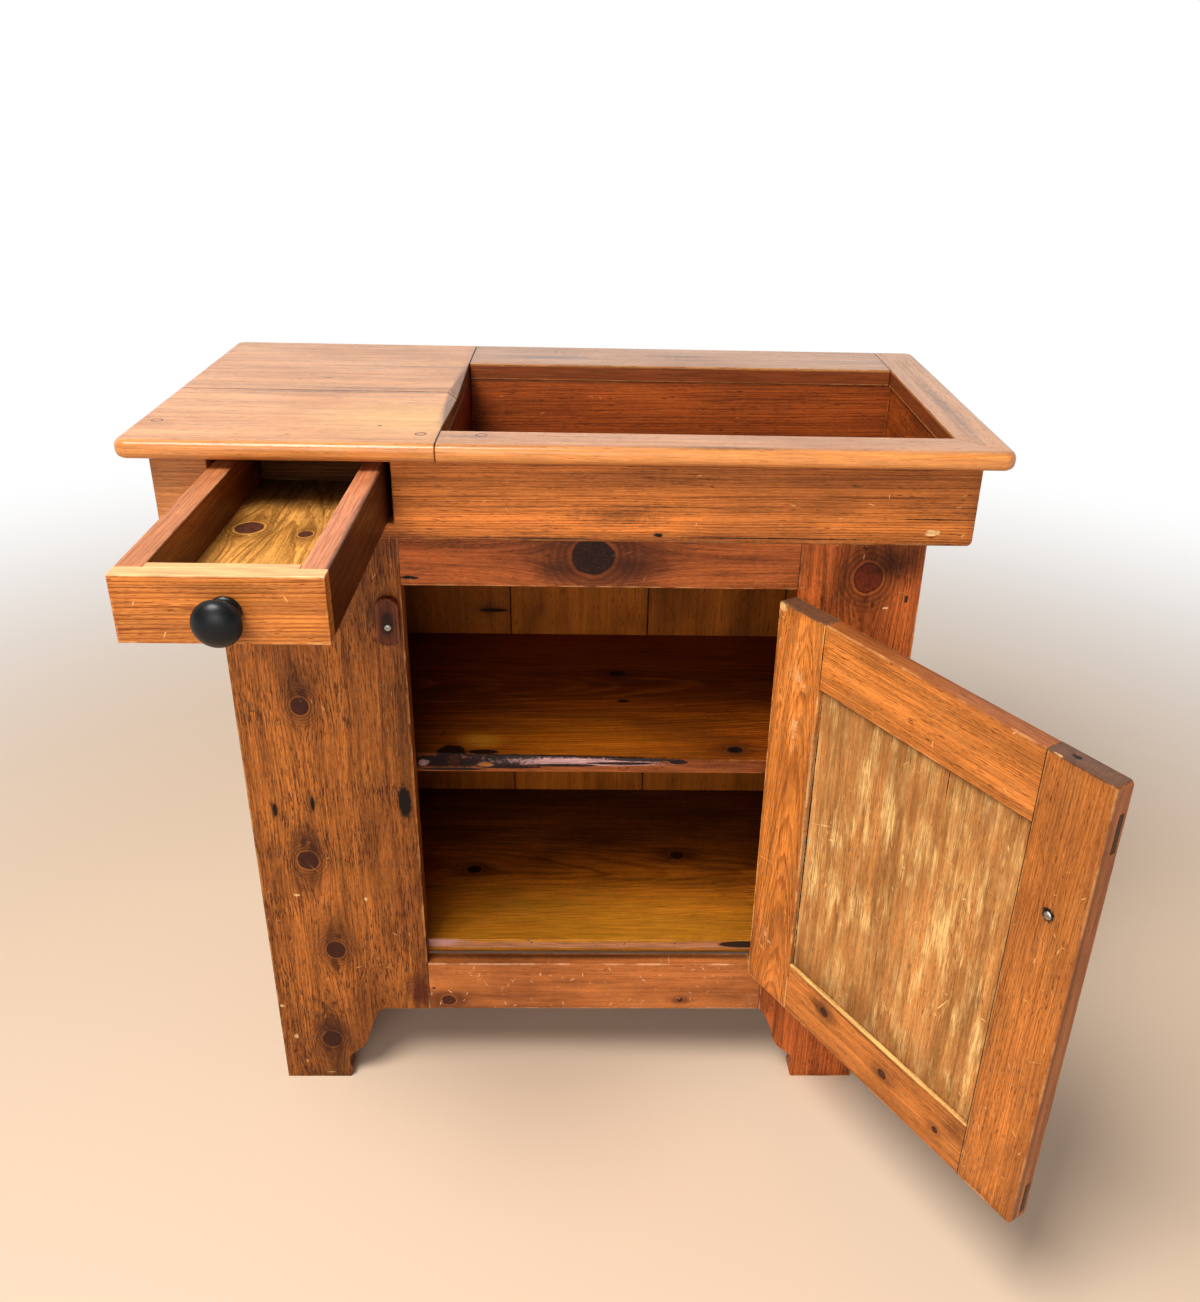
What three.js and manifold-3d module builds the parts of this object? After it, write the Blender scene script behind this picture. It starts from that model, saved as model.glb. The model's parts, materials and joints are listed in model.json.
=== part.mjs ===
// Dry sink cabinet in old pine: a worktop over a drawer on the left, an open well on the right,
// and a cupboard with one panelled door below.
// Millimetres, +Z up, X to the right, Y towards the wall. The sizes below are laid out with x = 0 in
// the middle of the cupboard, y = 0 at the front of its face frame and z = 0 on the floor.

import * as THREE from "three";
import { mergeVertices } from "three/addons/utils/BufferGeometryUtils.js";
import Module from "manifold-3d";

const wasm = await Module();
wasm.setup();

// Fits
const seat_gap = 0.3; // between two pieces that touch on the real cabinet
const cut_overrun = 2; // how far a cutting shape runs past the face it opens

// Cupboard
const opening_width = 450; // between the face frame's stiles
const body_depth = 404;
const body_height = 828;
const board_thick = 22;
const left_stile_width = 206.5;
const right_stile_width = 140.5;
const top_rail_height = 70;
const bottom_rail_top = 206;
const frame_tenon_length = 28;
const frame_tenon_thick = 8;
const frame_tenon_shoulder = 12;

// Bracket feet
const foot_rise = 126.5; // floor to the underside of the bottom rail
const foot_run = 54.5; // how far the profile runs outwards on its way down
const left_foot_flat = 64.3; // level part of the left stile before its profile starts
const side_foot_front = 62;
const side_foot_back = 84;

// Cupboard inside
const back_thick = 16;
const back_tongue_length = 5;
const back_tongue_thick = 5;
const back_bottom = 150;
const floor_top = 229;
const floor_thick = 21.5;
const shelf_top = 510.5;
const shelf_thick = 20;
const shelf_set_back = 9; // shelf's front edge behind the face frame's back
const shelf_wane_back = 14; // waney front edge, widest at the left and gone at its right end
const shelf_wane_down = 15;
const shelf_wane_end = 108; // right end of the wane, before the opening's right side
const cleat_width = 20;
const cleat_height = 24;
const cleat_end_gap = 14;

// Upper box
const upper_overhang = 37.5; // box past the cupboard at the front and both sides
const box_thick = 24;
const box_floor_thick = 19;
const apron_height = 92.5;
const apron_corner_round = 7; // along the lower outer edges
const wall_thick = 22; // well divider and well back wall
const well_wall_set_back = 2; // well back wall behind the rim's inner edge

// Top
const top_thick = 20.5;
const top_side_overhang = 26;
const top_front_overhang = 26.5;
const slab_front_depth = 211.5;
const slab_wane_back = 10.5; // waney edge above the well, widest where the two slab boards meet
const slab_wane_down = 9;
const rim_front_width = 52;
const rim_right_width = 54;
const rim_back_width = 108.5;
const edge_round = 8; // along all the edges of the top, above and below
const edge_round_steps = 4;
const corner_round = 14; // of the top's four corners, seen from above

// Drawer
const notch_margin = 59; // box's left end to the cut-out for the drawer
const notch_width = 189;
const notch_to_well = 51; // cut-out to the well's left face, which is the slab's right edge
const drawer_gap_left = 5.5;
const drawer_gap_right = 6;
const drawer_rise = 0.4; // running gap under the drawer
const drawer_height = 62.5;
const drawer_side_thick = 24;
const drawer_front_lap = 17;
const drawer_front_tongue = 10;
const drawer_back_thick = 20;
const drawer_bottom_rise = 3;
const drawer_bottom_thick = 12;
const drawer_groove_depth = 7;
const drawer_knob_shift = 4.8; // knob to the right of the front's middle
const drawer_pulled_out = 293; // in the photographed pose
const guide_height = 20;
const guide_gap = 0.8;
const stop_width = 110;
const stop_height = 26;
const stop_depth = 15.5; // the drawer is as long as the box leaves in front of its stop

// Door
const door_side_gap = 2;
const door_top_gap = 3.5;
const door_bottom_gap = 2.5;
const hinge_gap = 2;
const door_thick = 22;
const door_corner_round = 5;
const door_hinge_stile_width = 77;
const door_lock_stile_width = 75;
const door_top_rail_height = 80;
const door_bottom_rail_height = 74;
const door_tenon_thick = 7;
const door_tenon_in = 3.2; // door's outer face to the near cheek of its tenons
const door_tenon_height = 42;
const door_tenon_drop = 32; // top of the door to the top of its upper tenon
const door_tenon_lift = 10; // foot of the door to the bottom of its lower tenon
const panel_recess = 5.3; // panel behind the frame on the inner face
const panel_tongue_thick = 4.5;
const panel_tongue_length = 8;
const panel_thick = 12;
const panel_bevel = 26;
const panel_play = 1;
const door_open_degrees = 121.6; // in the photographed pose

// Butt hinges
const hinge_length = 64;
const hinge_from_end = 80;
const knuckle_radius = 3.5;
const knuckle_count = 5;
const pin_radius = 1.6;
const pin_clearance = 0.15;
const pin_head_radius = 2.6;
const pin_head_length = 1.6;
const pin_stand_off = 4; // hinge axis in front of the door's outer face
const leaf_thick = 1.8;
const leaf_clear = 0.2; // leaf to the middle plane of the hinge gap
const leaf_width = 22;
const leaf_tab_gap = 0.6;
const knuckle_gap = 0.3;

// Turned knobs and screws
const knob_radius = 21.3;
const knob_length = 38;
const door_knob_drop = 161.5; // top of the door to the middle of its knob
const knob_screw_radius = 2.2;
const knob_screw_into = 19;
const knob_hole_clearance = 0.3;
const knob_hole_tip = 3;
const screw_head_radius = 4.4;
const screw_head_height = 2.2;
const screw_slot_width = 1.2;
const screw_slot_depth = 1;

// Turn button
const button_length = 60;
const button_width = 26.5;
const button_thick = 11;
const button_bevel = 1.6;
const button_gap = 0.4; // button to the face frame
const button_screw_offset = 6.5; // pivot below the button's middle
const button_screw_from_stile_edge = 16.5;
const button_screw_drop = 48.5; // top of the door opening to the pivot
const button_screw_into = 16;

// Where the reference point lies: on the floor, in the middle of the photographed pose's outline
const origin_x = 21.8;
const origin_y = 2.9;

// Finishes
const finishes = {
  top: { color: 0xd08a48, roughness: 0.5 },
  case: { color: 0x9c5a2e, roughness: 0.55 },
  inside: { color: 0x7c4e1e, roughness: 0.7 },
  door: { color: 0xb4672f, roughness: 0.5 },
  panel: { color: 0xb08550, roughness: 0.75 },
  drawer: { color: 0xc07a42, roughness: 0.55 },
  dark: { color: 0x5a332a, roughness: 0.5 },
  black: { color: 0x2b2b2d, roughness: 0.4 },
  iron: { color: 0x3a3633, roughness: 0.6, metalness: 0.8 },
  steel: { color: 0xb8b4ac, roughness: 0.35, metalness: 1 },
};

// Planes that several pieces share
const body_half = (left_stile_width + opening_width + right_stile_width) / 2;
const side_inner = body_half - board_thick;
const opening_left = -body_half + left_stile_width;
const opening_right = body_half - right_stile_width;
const opening_top = body_height - top_rail_height;
const back_inner = body_depth - back_thick;
const box_half = body_half + upper_overhang;
const box_front = -upper_overhang;
const box_inner_half = box_half - box_thick;
const box_inner_front = box_front + box_thick;
const box_inner_back = body_depth - box_thick;
const box_floor_top = body_height + box_floor_thick;
const top_under = body_height + apron_height;
const top_face = top_under + top_thick;
const top_half = box_half + top_side_overhang;
const top_front = box_front - top_front_overhang;
const notch_left = -box_half + notch_margin;
const notch_right = notch_left + notch_width;
const slab_right = notch_right + notch_to_well;
const rim_back_edge = body_depth - rim_back_width;
const well_back_face = rim_back_edge + well_wall_set_back;
const divider_left = slab_right - wall_thick;
const drawer_left = notch_left + drawer_gap_left;
const drawer_right = notch_right - drawer_gap_right;
const drawer_length = box_inner_back - stop_depth - box_front;
const drawer_foot = box_floor_top + drawer_rise;
const drawer_top = drawer_foot + drawer_height;

// The foot's profile, from its toe up: [run share, rise share] pairs, hollow, nose and long sweep
const foot_toe_share = [1, 0];
const foot_instep_share = [0.927, 0.119];
const foot_hollow_shares = [[1.046, 0.206], [0.99, 0.316], [0.844, 0.356]];
const foot_nose_share = [0.734, 0.395];
const foot_cove_shares = [[0.55, 0.443], [0.422, 0.569], [0.385, 0.672]];
const foot_sweep_shares = [[0.294, 0.806], [0.147, 0.964], [0, 1]];

// Seams of the back boards across the cupboard, and of the well's floor from front to back
const back_seam_shares = [-0.408, -0.1332, 0.1417, 0.4166];
const well_floor_seam_shares = [0, 0.36, 0.7, 1];

// Knob outline: [radius share, length share] from the seat to the crown
const knob_outline_shares = [
  [0.6, 0], [0.66, 0.03], [0.66, 0.08], [0.58, 0.11], [0.55, 0.14], [0.61, 0.17], [0.61, 0.21],
  [0.47, 0.25], [0.4, 0.32], [0.43, 0.39], [0.62, 0.46], [0.86, 0.53], [0.97, 0.6], [1, 0.67],
  [0.97, 0.75], [0.88, 0.83], [0.7, 0.91], [0.45, 0.97], [0.2, 0.995],
];
const screw_dome_shares = [[1, 0], [1, 0.35], [0.82, 0.7], [0.5, 0.92]];

// Shape helpers

function toSolid(geometry) {
  const bare = geometry.clone();
  bare.deleteAttribute("normal");
  bare.deleteAttribute("uv");
  const merged = mergeVertices(bare, seat_gap / 100);
  const mesh = new wasm.Mesh({
    numProp: 3,
    vertProperties: new Float32Array(merged.attributes.position.array),
    triVerts: new Uint32Array(merged.index.array),
  });
  return new wasm.Manifold(mesh);
}

function toGeometry(solid) {
  const mesh = solid.getMesh();
  const shared = new THREE.BufferGeometry();
  shared.setAttribute("position", new THREE.BufferAttribute(mesh.vertProperties, 3));
  shared.setIndex(new THREE.BufferAttribute(mesh.triVerts, 1));
  const geometry = shared.toNonIndexed();
  geometry.computeVertexNormals();
  return geometry;
}

function block(x, y, z) {
  const geometry = new THREE.BoxGeometry(x[1] - x[0], y[1] - y[0], z[1] - z[0]);
  geometry.translate((x[0] + x[1]) / 2, (y[0] + y[1]) / 2, (z[0] + z[1]) / 2);
  return toSolid(geometry);
}

// A span with the same amount taken off both ends, or added where the amount is negative
function inset(span, amount) {
  return [span[0] + amount, span[1] - amount];
}

// A span in rising order
function ascending(span) {
  return [Math.min(...span), Math.max(...span)];
}

// A board between nominal planes. Half the seat gap comes off every face, so two boards that
// share a plane stand one seat gap apart.
function board(x, y, z) {
  return block(inset(x, seat_gap / 2), inset(y, seat_gap / 2), inset(z, seat_gap / 2));
}

// The room that a board needs in its neighbour: half the seat gap more than nominal all round
function pocket(x, y, z) {
  return block(inset(x, -seat_gap / 2), inset(y, -seat_gap / 2), inset(z, -seat_gap / 2));
}

// An outline drawn in one plane and extruded over a span of the third axis
function extruded(outline, plane, span) {
  const geometry = new THREE.ExtrudeGeometry(outline, {
    depth: span[1] - span[0],
    bevelEnabled: false,
    curveSegments: 6,
  });
  const axis_x = new THREE.Vector3(1, 0, 0);
  const axis_y = new THREE.Vector3(0, 1, 0);
  const axis_z = new THREE.Vector3(0, 0, 1);
  const bases = {
    xy: [axis_x, axis_y, axis_z],
    xz: [axis_x, axis_z, axis_y.clone().negate()],
    yz: [axis_y, axis_z, axis_x],
  };
  const shifts = { xy: [0, 0, span[0]], xz: [0, span[1], 0], yz: [span[0], 0, 0] };
  geometry.applyMatrix4(new THREE.Matrix4().makeBasis(...bases[plane]));
  geometry.translate(...shifts[plane]);
  return toSolid(geometry);
}

// A closed outline through [across, up] points, without a point that repeats the one before
function outlineOf(points) {
  const corners = points.map((point) => new THREE.Vector2(point[0], point[1]));
  const distinct = corners.filter((corner, i) => i === 0 || !corner.equals(corners[i - 1]));
  return new THREE.Shape(distinct);
}

// A turned piece about the Y axis, from profile points [radius, along]
function turned(profile, sides = 24) {
  const points = profile.map((point) => new THREE.Vector2(point[0], point[1]));
  return toSolid(new THREE.LatheGeometry(points, sides));
}

function rod(radius, span, sides = 24) {
  return turned([[0, span[0]], [radius, span[0]], [radius, span[1]], [0, span[1]]], sides);
}

// What is left of a solid when a plane through three points takes off the side away from kept
function planed(solid, points, kept) {
  const plane = new THREE.Plane();
  plane.setFromCoplanarPoints(...points.map((point) => new THREE.Vector3(...point)));
  if (plane.distanceToPoint(new THREE.Vector3(...kept)) < 0) plane.negate();
  return solid.trimByPlane(plane.normal.toArray(), -plane.constant);
}

function upright(solid) {
  return solid.rotate([90, 0, 0]);
}

// A rectangle with rounded corners in two named spans
function roundedOutline(across, up, radius) {
  const shape = new THREE.Shape();
  shape.moveTo(across[0] + radius, up[0]);
  shape.lineTo(across[1] - radius, up[0]);
  shape.absarc(across[1] - radius, up[0] + radius, radius, -Math.PI / 2, 0);
  shape.lineTo(across[1], up[1] - radius);
  shape.absarc(across[1] - radius, up[1] - radius, radius, 0, Math.PI / 2);
  shape.lineTo(across[0] + radius, up[1]);
  shape.absarc(across[0] + radius, up[1] - radius, radius, Math.PI / 2, Math.PI);
  shape.lineTo(across[0], up[0] + radius);
  shape.absarc(across[0] + radius, up[0] + radius, radius, Math.PI, Math.PI * 1.5);
  return shape;
}

function piece(name, finish, solid) {
  const mesh = new THREE.Mesh(toGeometry(solid), new THREE.MeshStandardMaterial(finishes[finish]));
  mesh.name = name;
  return mesh;
}

function placed(mesh, x, y, z) {
  mesh.position.set(x, y, z);
  return mesh;
}

// Face frame and carcass of the cupboard

// Points of one bracket foot from the floor up, its top at x_top, its run towards outward
function footPoints(x_top, outward) {
  const at = (share) => [x_top + outward * foot_run * share[0], foot_rise * share[1]];
  const path = new THREE.Path();
  path.moveTo(...at(foot_toe_share));
  path.lineTo(...at(foot_instep_share));
  path.bezierCurveTo(...foot_hollow_shares.flatMap(at));
  path.lineTo(...at(foot_nose_share));
  path.bezierCurveTo(...foot_cove_shares.flatMap(at));
  path.bezierCurveTo(...foot_sweep_shares.flatMap(at));
  return path.getPoints(5).map((point) => [point.x, point.y]);
}

// A stile between its outer edge and the opening, with a level part before its foot profile
function stileBlank(outer_x, opening_x, flat) {
  const outward = Math.sign(outer_x - opening_x);
  const edge_x = opening_x + outward * seat_gap / 2;
  const top = body_height - seat_gap / 2;
  const outline = outlineOf([
    [outer_x, 0],
    ...footPoints(edge_x + outward * flat, outward),
    [edge_x, foot_rise],
    [edge_x, top],
    [outer_x, top],
  ]);
  return extruded(outline, "xz", [0, board_thick - seat_gap / 2]);
}

const frame_tenon_y = [(board_thick - frame_tenon_thick) / 2, (board_thick + frame_tenon_thick) / 2];
const top_rail_z = [opening_top, body_height];
const bottom_rail_z = [foot_rise, bottom_rail_top];

// Span of a rail's tenon, from inside the rail's end to its tip in the stile
function tenonX(edge_x, into) {
  return ascending([edge_x + into * frame_tenon_length, edge_x - into * cut_overrun]);
}

function railWithTenons(rail_z) {
  const tenon_z = inset(rail_z, frame_tenon_shoulder);
  return board([opening_left, opening_right], [0, board_thick], rail_z)
    .add(board(tenonX(opening_left, -1), frame_tenon_y, tenon_z))
    .add(board(tenonX(opening_right, 1), frame_tenon_y, tenon_z));
}

function railMortises(edge_x, into) {
  const mortise = (rail_z) => pocket(
    tenonX(edge_x, into), frame_tenon_y, inset(rail_z, frame_tenon_shoulder));
  return mortise(top_rail_z).add(mortise(bottom_rail_z));
}

const hinge_axis_x = opening_right - hinge_gap / 2;
const door_foot = bottom_rail_top + door_bottom_gap;
const door_top = opening_top - door_top_gap;
const hinge_feet = [door_top - hinge_from_end - hinge_length, door_foot + hinge_from_end];
const leaf_far = leaf_clear + leaf_thick;
const button_x = opening_left - button_screw_from_stile_edge;
const button_z = opening_top - button_screw_drop;

// The recess for one leaf, on the side of the hinge axis that side_sign names
function leafRecess(side_sign, foot) {
  const x = ascending([side_sign * (leaf_clear - cut_overrun), side_sign * leaf_far]);
  const room = (span) => inset(span, -seat_gap);
  return block(room(x), room([-cut_overrun, leaf_width]), room([foot, foot + hinge_length]));
}

function leftStile() {
  const screw_hole = rod(knob_screw_radius + knob_hole_clearance,
    [-cut_overrun, button_screw_into - button_thick + knob_hole_tip])
    .translate([button_x, 0, button_z]);
  return stileBlank(-body_half, opening_left, left_foot_flat)
    .subtract(railMortises(opening_left, -1))
    .subtract(screw_hole);
}

function rightStile() {
  let stile = stileBlank(body_half, opening_right, 0).subtract(railMortises(opening_right, 1));
  for (const foot of hinge_feet) {
    stile = stile.subtract(leafRecess(1, foot).translate([hinge_axis_x, -pin_stand_off, 0]));
  }
  return stile;
}

function side(side_sign) {
  const front = board_thick + seat_gap / 2;
  const top = body_height - seat_gap / 2;
  const faces = [side_sign * body_half, side_sign * (side_inner + seat_gap / 2)];
  const front_foot = footPoints(front + side_foot_front + foot_run, -1);
  const back_foot = footPoints(body_depth - side_foot_back - foot_run, 1);
  const outline = outlineOf([
    [front, 0], ...front_foot, ...back_foot.reverse(), [body_depth, 0],
    [body_depth, top], [front, top],
  ]);
  return extruded(outline, "yz", ascending(faces));
}

// One tongued and grooved back board between two seams
function backBoard(left, right, has_groove, has_tongue) {
  const low = left + seat_gap / 2;
  const high = right - seat_gap / 2;
  const near = back_inner + seat_gap / 2;
  const middle = (back_inner + body_depth) / 2;
  const half = back_tongue_thick / 2;
  const points = [[low, near], [high, near]];
  if (has_tongue) {
    const tip = right + back_tongue_length;
    points.push([high, middle - half], [tip, middle - half], [tip, middle + half]);
    points.push([high, middle + half]);
  }
  points.push([high, body_depth], [low, body_depth]);
  if (has_groove) {
    const deep = left + back_tongue_length + seat_gap;
    const room = half + seat_gap;
    points.push([low, middle + room], [deep, middle + room], [deep, middle - room]);
    points.push([low, middle - room]);
  }
  return extruded(outlineOf(points), "xy", [back_bottom, body_height - seat_gap / 2]);
}

function cleat(name, side_sign, top) {
  const x = ascending([side_sign * side_inner, side_sign * (side_inner - cleat_width)]);
  const y = [board_thick + cleat_end_gap, back_inner - cleat_end_gap];
  return piece(name, "inside", board(x, y, [top - cleat_height, top]));
}

// The shelf, with its front edge planed off at a slant where the bark was
function shelfSolid(inner_x) {
  const front = board_thick + shelf_set_back;
  const z = [shelf_top - shelf_thick, shelf_top];
  const wane_end = opening_right - shelf_wane_end;
  const wane = [
    [wane_end, front, shelf_top],
    [opening_left, front + shelf_wane_back, shelf_top],
    [opening_left, front, shelf_top - shelf_wane_down],
  ];
  return planed(board(inner_x, [front, back_inner], z), wane, [0, back_inner, z[0]]);
}

function cupboard() {
  const group = new THREE.Group();
  const inner_x = [-side_inner, side_inner];
  const floor_under = floor_top - floor_thick;
  const shelf_under = shelf_top - shelf_thick;
  group.add(
    piece("stile_left", "case", leftStile()),
    piece("stile_right", "case", rightStile()),
    piece("top_rail", "case", railWithTenons(top_rail_z)),
    piece("bottom_rail", "case", railWithTenons(bottom_rail_z)),
    piece("side_left", "case", side(-1)),
    piece("side_right", "case", side(1)),
    piece("cupboard_floor", "inside",
      board(inner_x, [board_thick, back_inner], [floor_under, floor_top])),
    piece("shelf", "inside", shelfSolid(inner_x)),
    cleat("floor_cleat_left", -1, floor_under),
    cleat("floor_cleat_right", 1, floor_under),
    cleat("shelf_cleat_left", -1, shelf_under),
    cleat("shelf_cleat_right", 1, shelf_under),
  );
  const seams = back_seam_shares.map((share) => share * side_inner * 2);
  const edges = [-side_inner, ...seams, side_inner];
  const last = edges.length - 2;
  for (let i = 0; i <= last; i += 1) {
    const solid = backBoard(edges[i], edges[i + 1], i > 0, i < last);
    group.add(piece(`back_board_${i + 1}`, "inside", solid));
  }
  return group;
}

// Upper box with the well and the drawer's runway

function upperBox() {
  const group = new THREE.Group();
  const apron_z = [body_height, top_under];
  const wall_z = [box_floor_top, top_under];
  const inside_x = [-box_inner_half, box_inner_half];
  const inside_y = [box_inner_front, box_inner_back];
  const notch = block([notch_left, notch_right], inset([box_front, box_inner_front], -cut_overrun),
    [box_floor_top, top_under + cut_overrun]);
  // Rounds the lower outer edges of the three aprons and leaves their upper edges square
  const rounding = extruded(
    roundedOutline([-box_half, box_half], [body_height, top_face + apron_corner_round],
      apron_corner_round),
    "xz", [box_front, body_depth]);
  const apron = (x, y) => board(x, y, apron_z).intersect(rounding);
  group.add(
    piece("apron_front", "case",
      apron([-box_half, box_half], [box_front, box_inner_front]).subtract(notch)),
    piece("apron_left", "case",
      apron([-box_half, -box_inner_half], [box_inner_front, body_depth])),
    piece("apron_right", "case",
      apron([box_inner_half, box_half], [box_inner_front, body_depth])),
    piece("box_back", "inside", board(inside_x, [box_inner_back, body_depth], apron_z)),
    piece("well_divider", "inside", board([divider_left, slab_right], inside_y, wall_z)),
    piece("well_back_wall", "inside", board([slab_right, box_inner_half],
      [well_back_face, well_back_face + wall_thick], wall_z)),
  );
  const floor_z = [body_height, box_floor_top];
  const floor_names = ["well_floor_front", "well_floor_middle", "well_floor_back"];
  const floor_depth = box_inner_back - box_inner_front;
  const seams = well_floor_seam_shares.map((share) => box_inner_front + share * floor_depth);
  floor_names.forEach((name, i) => group.add(
    piece(name, "inside",
      board([slab_right, box_inner_half], [seams[i], seams[i + 1]], floor_z))));
  group.add(piece("drawer_runway", "inside",
    board([-box_inner_half, slab_right], inside_y, floor_z)));
  return group;
}

function drawerRunway() {
  const group = new THREE.Group();
  const y = [box_inner_front, box_inner_back];
  const guide_z = [box_floor_top, box_floor_top + guide_height];
  const kicker_z = [drawer_top + guide_gap, top_under];
  const stop_middle = (drawer_left + drawer_right) / 2;
  group.add(
    piece("drawer_guide_left", "inside",
      board([-box_inner_half, drawer_left - guide_gap], y, guide_z)),
    piece("drawer_guide_right", "inside",
      board([drawer_right + guide_gap, divider_left], y, guide_z)),
    piece("drawer_kicker_left", "inside",
      board([-box_inner_half, drawer_left + drawer_side_thick], y, kicker_z)),
    piece("drawer_kicker_right", "inside",
      board([drawer_right - drawer_side_thick, divider_left], y, kicker_z)),
    piece("drawer_stop", "inside", board(
      [stop_middle - stop_width / 2, stop_middle + stop_width / 2],
      [box_inner_back - stop_depth, box_inner_back],
      [box_floor_top, box_floor_top + stop_height])),
  );
  return group;
}

// Top: one blank with its rounded edges, sawn into two slab boards and three rim boards

// The blank is drawn as its flat upper face and swells from there to its full outline, so that
// the rounding follows the edges round the corners
function topBlank() {
  const across = inset([-top_half, top_half], edge_round);
  const deep = inset([top_front, body_depth], edge_round);
  const plan = roundedOutline(across, deep, corner_round - edge_round);
  const geometry = new THREE.ExtrudeGeometry(plan, {
    depth: top_thick - 2 * edge_round,
    bevelSize: edge_round,
    bevelThickness: edge_round,
    bevelSegments: edge_round_steps,
    curveSegments: edge_round_steps,
  });
  geometry.translate(0, 0, top_under + edge_round);
  return toSolid(geometry);
}

function topBoards() {
  const group = new THREE.Group();
  const blank = topBlank();
  const rim_inner_x = top_half - rim_right_width;
  const rim_inner_y = top_front + rim_front_width;
  const slab_seam = top_front + slab_front_depth;
  const z = inset([top_under, top_face], -cut_overrun);
  const slab_x = [-top_half - cut_overrun, slab_right - seat_gap / 2];
  const half = seat_gap / 2;
  // A rim board's outline runs past the blank, along the mitre through the inner corner
  const out_x = top_half + cut_overrun;
  const mitre_slope = rim_front_width / rim_right_width;
  const mitre_out_y = rim_inner_y - mitre_slope * (out_x - rim_inner_x);
  const out_y = mitre_out_y - cut_overrun;
  const front_outline = outlineOf([
    [slab_right + half, out_y], [slab_right + half, rim_inner_y],
    [rim_inner_x - half, rim_inner_y], [out_x - half, mitre_out_y], [out_x - half, out_y],
  ]);
  const right_outline = outlineOf([
    [rim_inner_x + half, body_depth + cut_overrun], [out_x + half, body_depth + cut_overrun],
    [out_x + half, mitre_out_y], [rim_inner_x + half, rim_inner_y],
  ]);
  const sawn = (outline) => blank.intersect(extruded(outline, "xy", z));
  // A slab board over the whole span y, its edge above the well planed off from a point at well_y
  const slab = (y, well_y) => planed(blank.intersect(block(slab_x, y, z)), [
    [slab_right, well_y, top_face],
    [slab_right - slab_wane_back, slab_seam, top_face],
    [slab_right, slab_seam, top_face - slab_wane_down],
  ], [-top_half, slab_seam, top_under]);
  group.add(
    piece("top_front_board", "top", slab([out_y, slab_seam - half], rim_inner_y)),
    piece("top_back_board", "top",
      slab([slab_seam + half, body_depth + cut_overrun], rim_back_edge)),
    piece("rim_front", "top", sawn(front_outline)),
    piece("rim_right", "top", sawn(right_outline)),
    piece("rim_back", "top", blank.intersect(
      block([slab_right + half, rim_inner_x - half], [rim_back_edge, body_depth + cut_overrun], z))),
  );
  return group;
}

// Turned knobs and the screws that hold them

function knobSolid() {
  const outline = knob_outline_shares.map(([radius_share, length_share]) => [
    knob_radius * radius_share, knob_length * length_share]);
  const hole_radius = knob_screw_radius + knob_hole_clearance;
  const hole_depth = knob_screw_into + knob_hole_tip;
  return turned([[0, 0], ...outline, [0, knob_length]], 28)
    .subtract(rod(hole_radius, [-cut_overrun, hole_depth]));
}

// A slotted screw along Y: its head stands on y = 0, towards +Y, and its shank goes down to -length
function screwSolid(shank_length) {
  const dome = screw_dome_shares.map(([radius_share, height_share]) => [
    screw_head_radius * radius_share, screw_head_height * height_share]);
  const slot = block(
    [-screw_head_radius - cut_overrun, screw_head_radius + cut_overrun],
    [screw_head_height - screw_slot_depth, screw_head_height + cut_overrun],
    [-screw_slot_width / 2, screw_slot_width / 2]);
  return turned([
    [0, -shank_length], [knob_screw_radius, -shank_length], [knob_screw_radius, 0],
    ...dome, [0, screw_head_height],
  ], 20).subtract(slot);
}

// A knob on an outer face, and its screw from the inner face, both facing along Y
function knobAndScrew(prefix, x, z, outer_y, inner_y) {
  const knob = piece(`${prefix}_knob`, "black", knobSolid().rotate([180, 0, 0]));
  const thickness = inner_y - outer_y;
  const screw = piece(`${prefix}_knob_screw`, "steel", screwSolid(thickness + knob_screw_into));
  return [
    placed(knob, x, outer_y - seat_gap / 2, z),
    placed(screw, x, inner_y + seat_gap / 2, z),
  ];
}

function knobHole(x, z, y) {
  return rod(knob_screw_radius + knob_hole_clearance, inset(y, -cut_overrun)).translate([x, 0, z]);
}

// Drawer, drawn shut and then pulled out

function drawer() {
  const group = new THREE.Group();
  const inner_left = drawer_left + drawer_side_thick;
  const inner_right = drawer_right - drawer_side_thick;
  const lap_back = box_front + drawer_front_lap;
  const front_back = lap_back + drawer_front_tongue;
  const tail = box_front + drawer_length;
  const z = [drawer_foot, drawer_top];
  const bottom_under = drawer_foot + drawer_bottom_rise;
  const bottom_z = [bottom_under, bottom_under + drawer_bottom_thick];
  const bottom_x = inset([inner_left, inner_right], -drawer_groove_depth);
  const bottom_y = [front_back - drawer_groove_depth, tail];
  const groove = pocket(bottom_x, [bottom_y[0], tail + cut_overrun], bottom_z);
  const knob_x = (drawer_left + drawer_right) / 2 + drawer_knob_shift;
  const knob_z = (drawer_foot + drawer_top) / 2;
  const front = board([drawer_left, drawer_right], [box_front, lap_back], z)
    .add(board([inner_left, inner_right], [box_front, front_back], z))
    .subtract(groove)
    .subtract(knobHole(knob_x, knob_z, [box_front, front_back]));
  const side_y = [lap_back, tail];
  group.add(
    piece("drawer_front", "drawer", front),
    piece("drawer_side_left", "drawer",
      board([drawer_left, inner_left], side_y, z).subtract(groove)),
    piece("drawer_side_right", "drawer",
      board([inner_right, drawer_right], side_y, z).subtract(groove)),
    piece("drawer_back", "drawer",
      board([inner_left, inner_right], [tail - drawer_back_thick, tail], [bottom_z[1], drawer_top])),
    piece("drawer_bottom", "inside", board(bottom_x, bottom_y, bottom_z)),
    ...knobAndScrew("drawer", knob_x, knob_z, box_front, front_back),
  );
  group.position.y = -drawer_pulled_out;
  return group;
}

// Door, drawn shut about its hinge axis and then swung open

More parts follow.
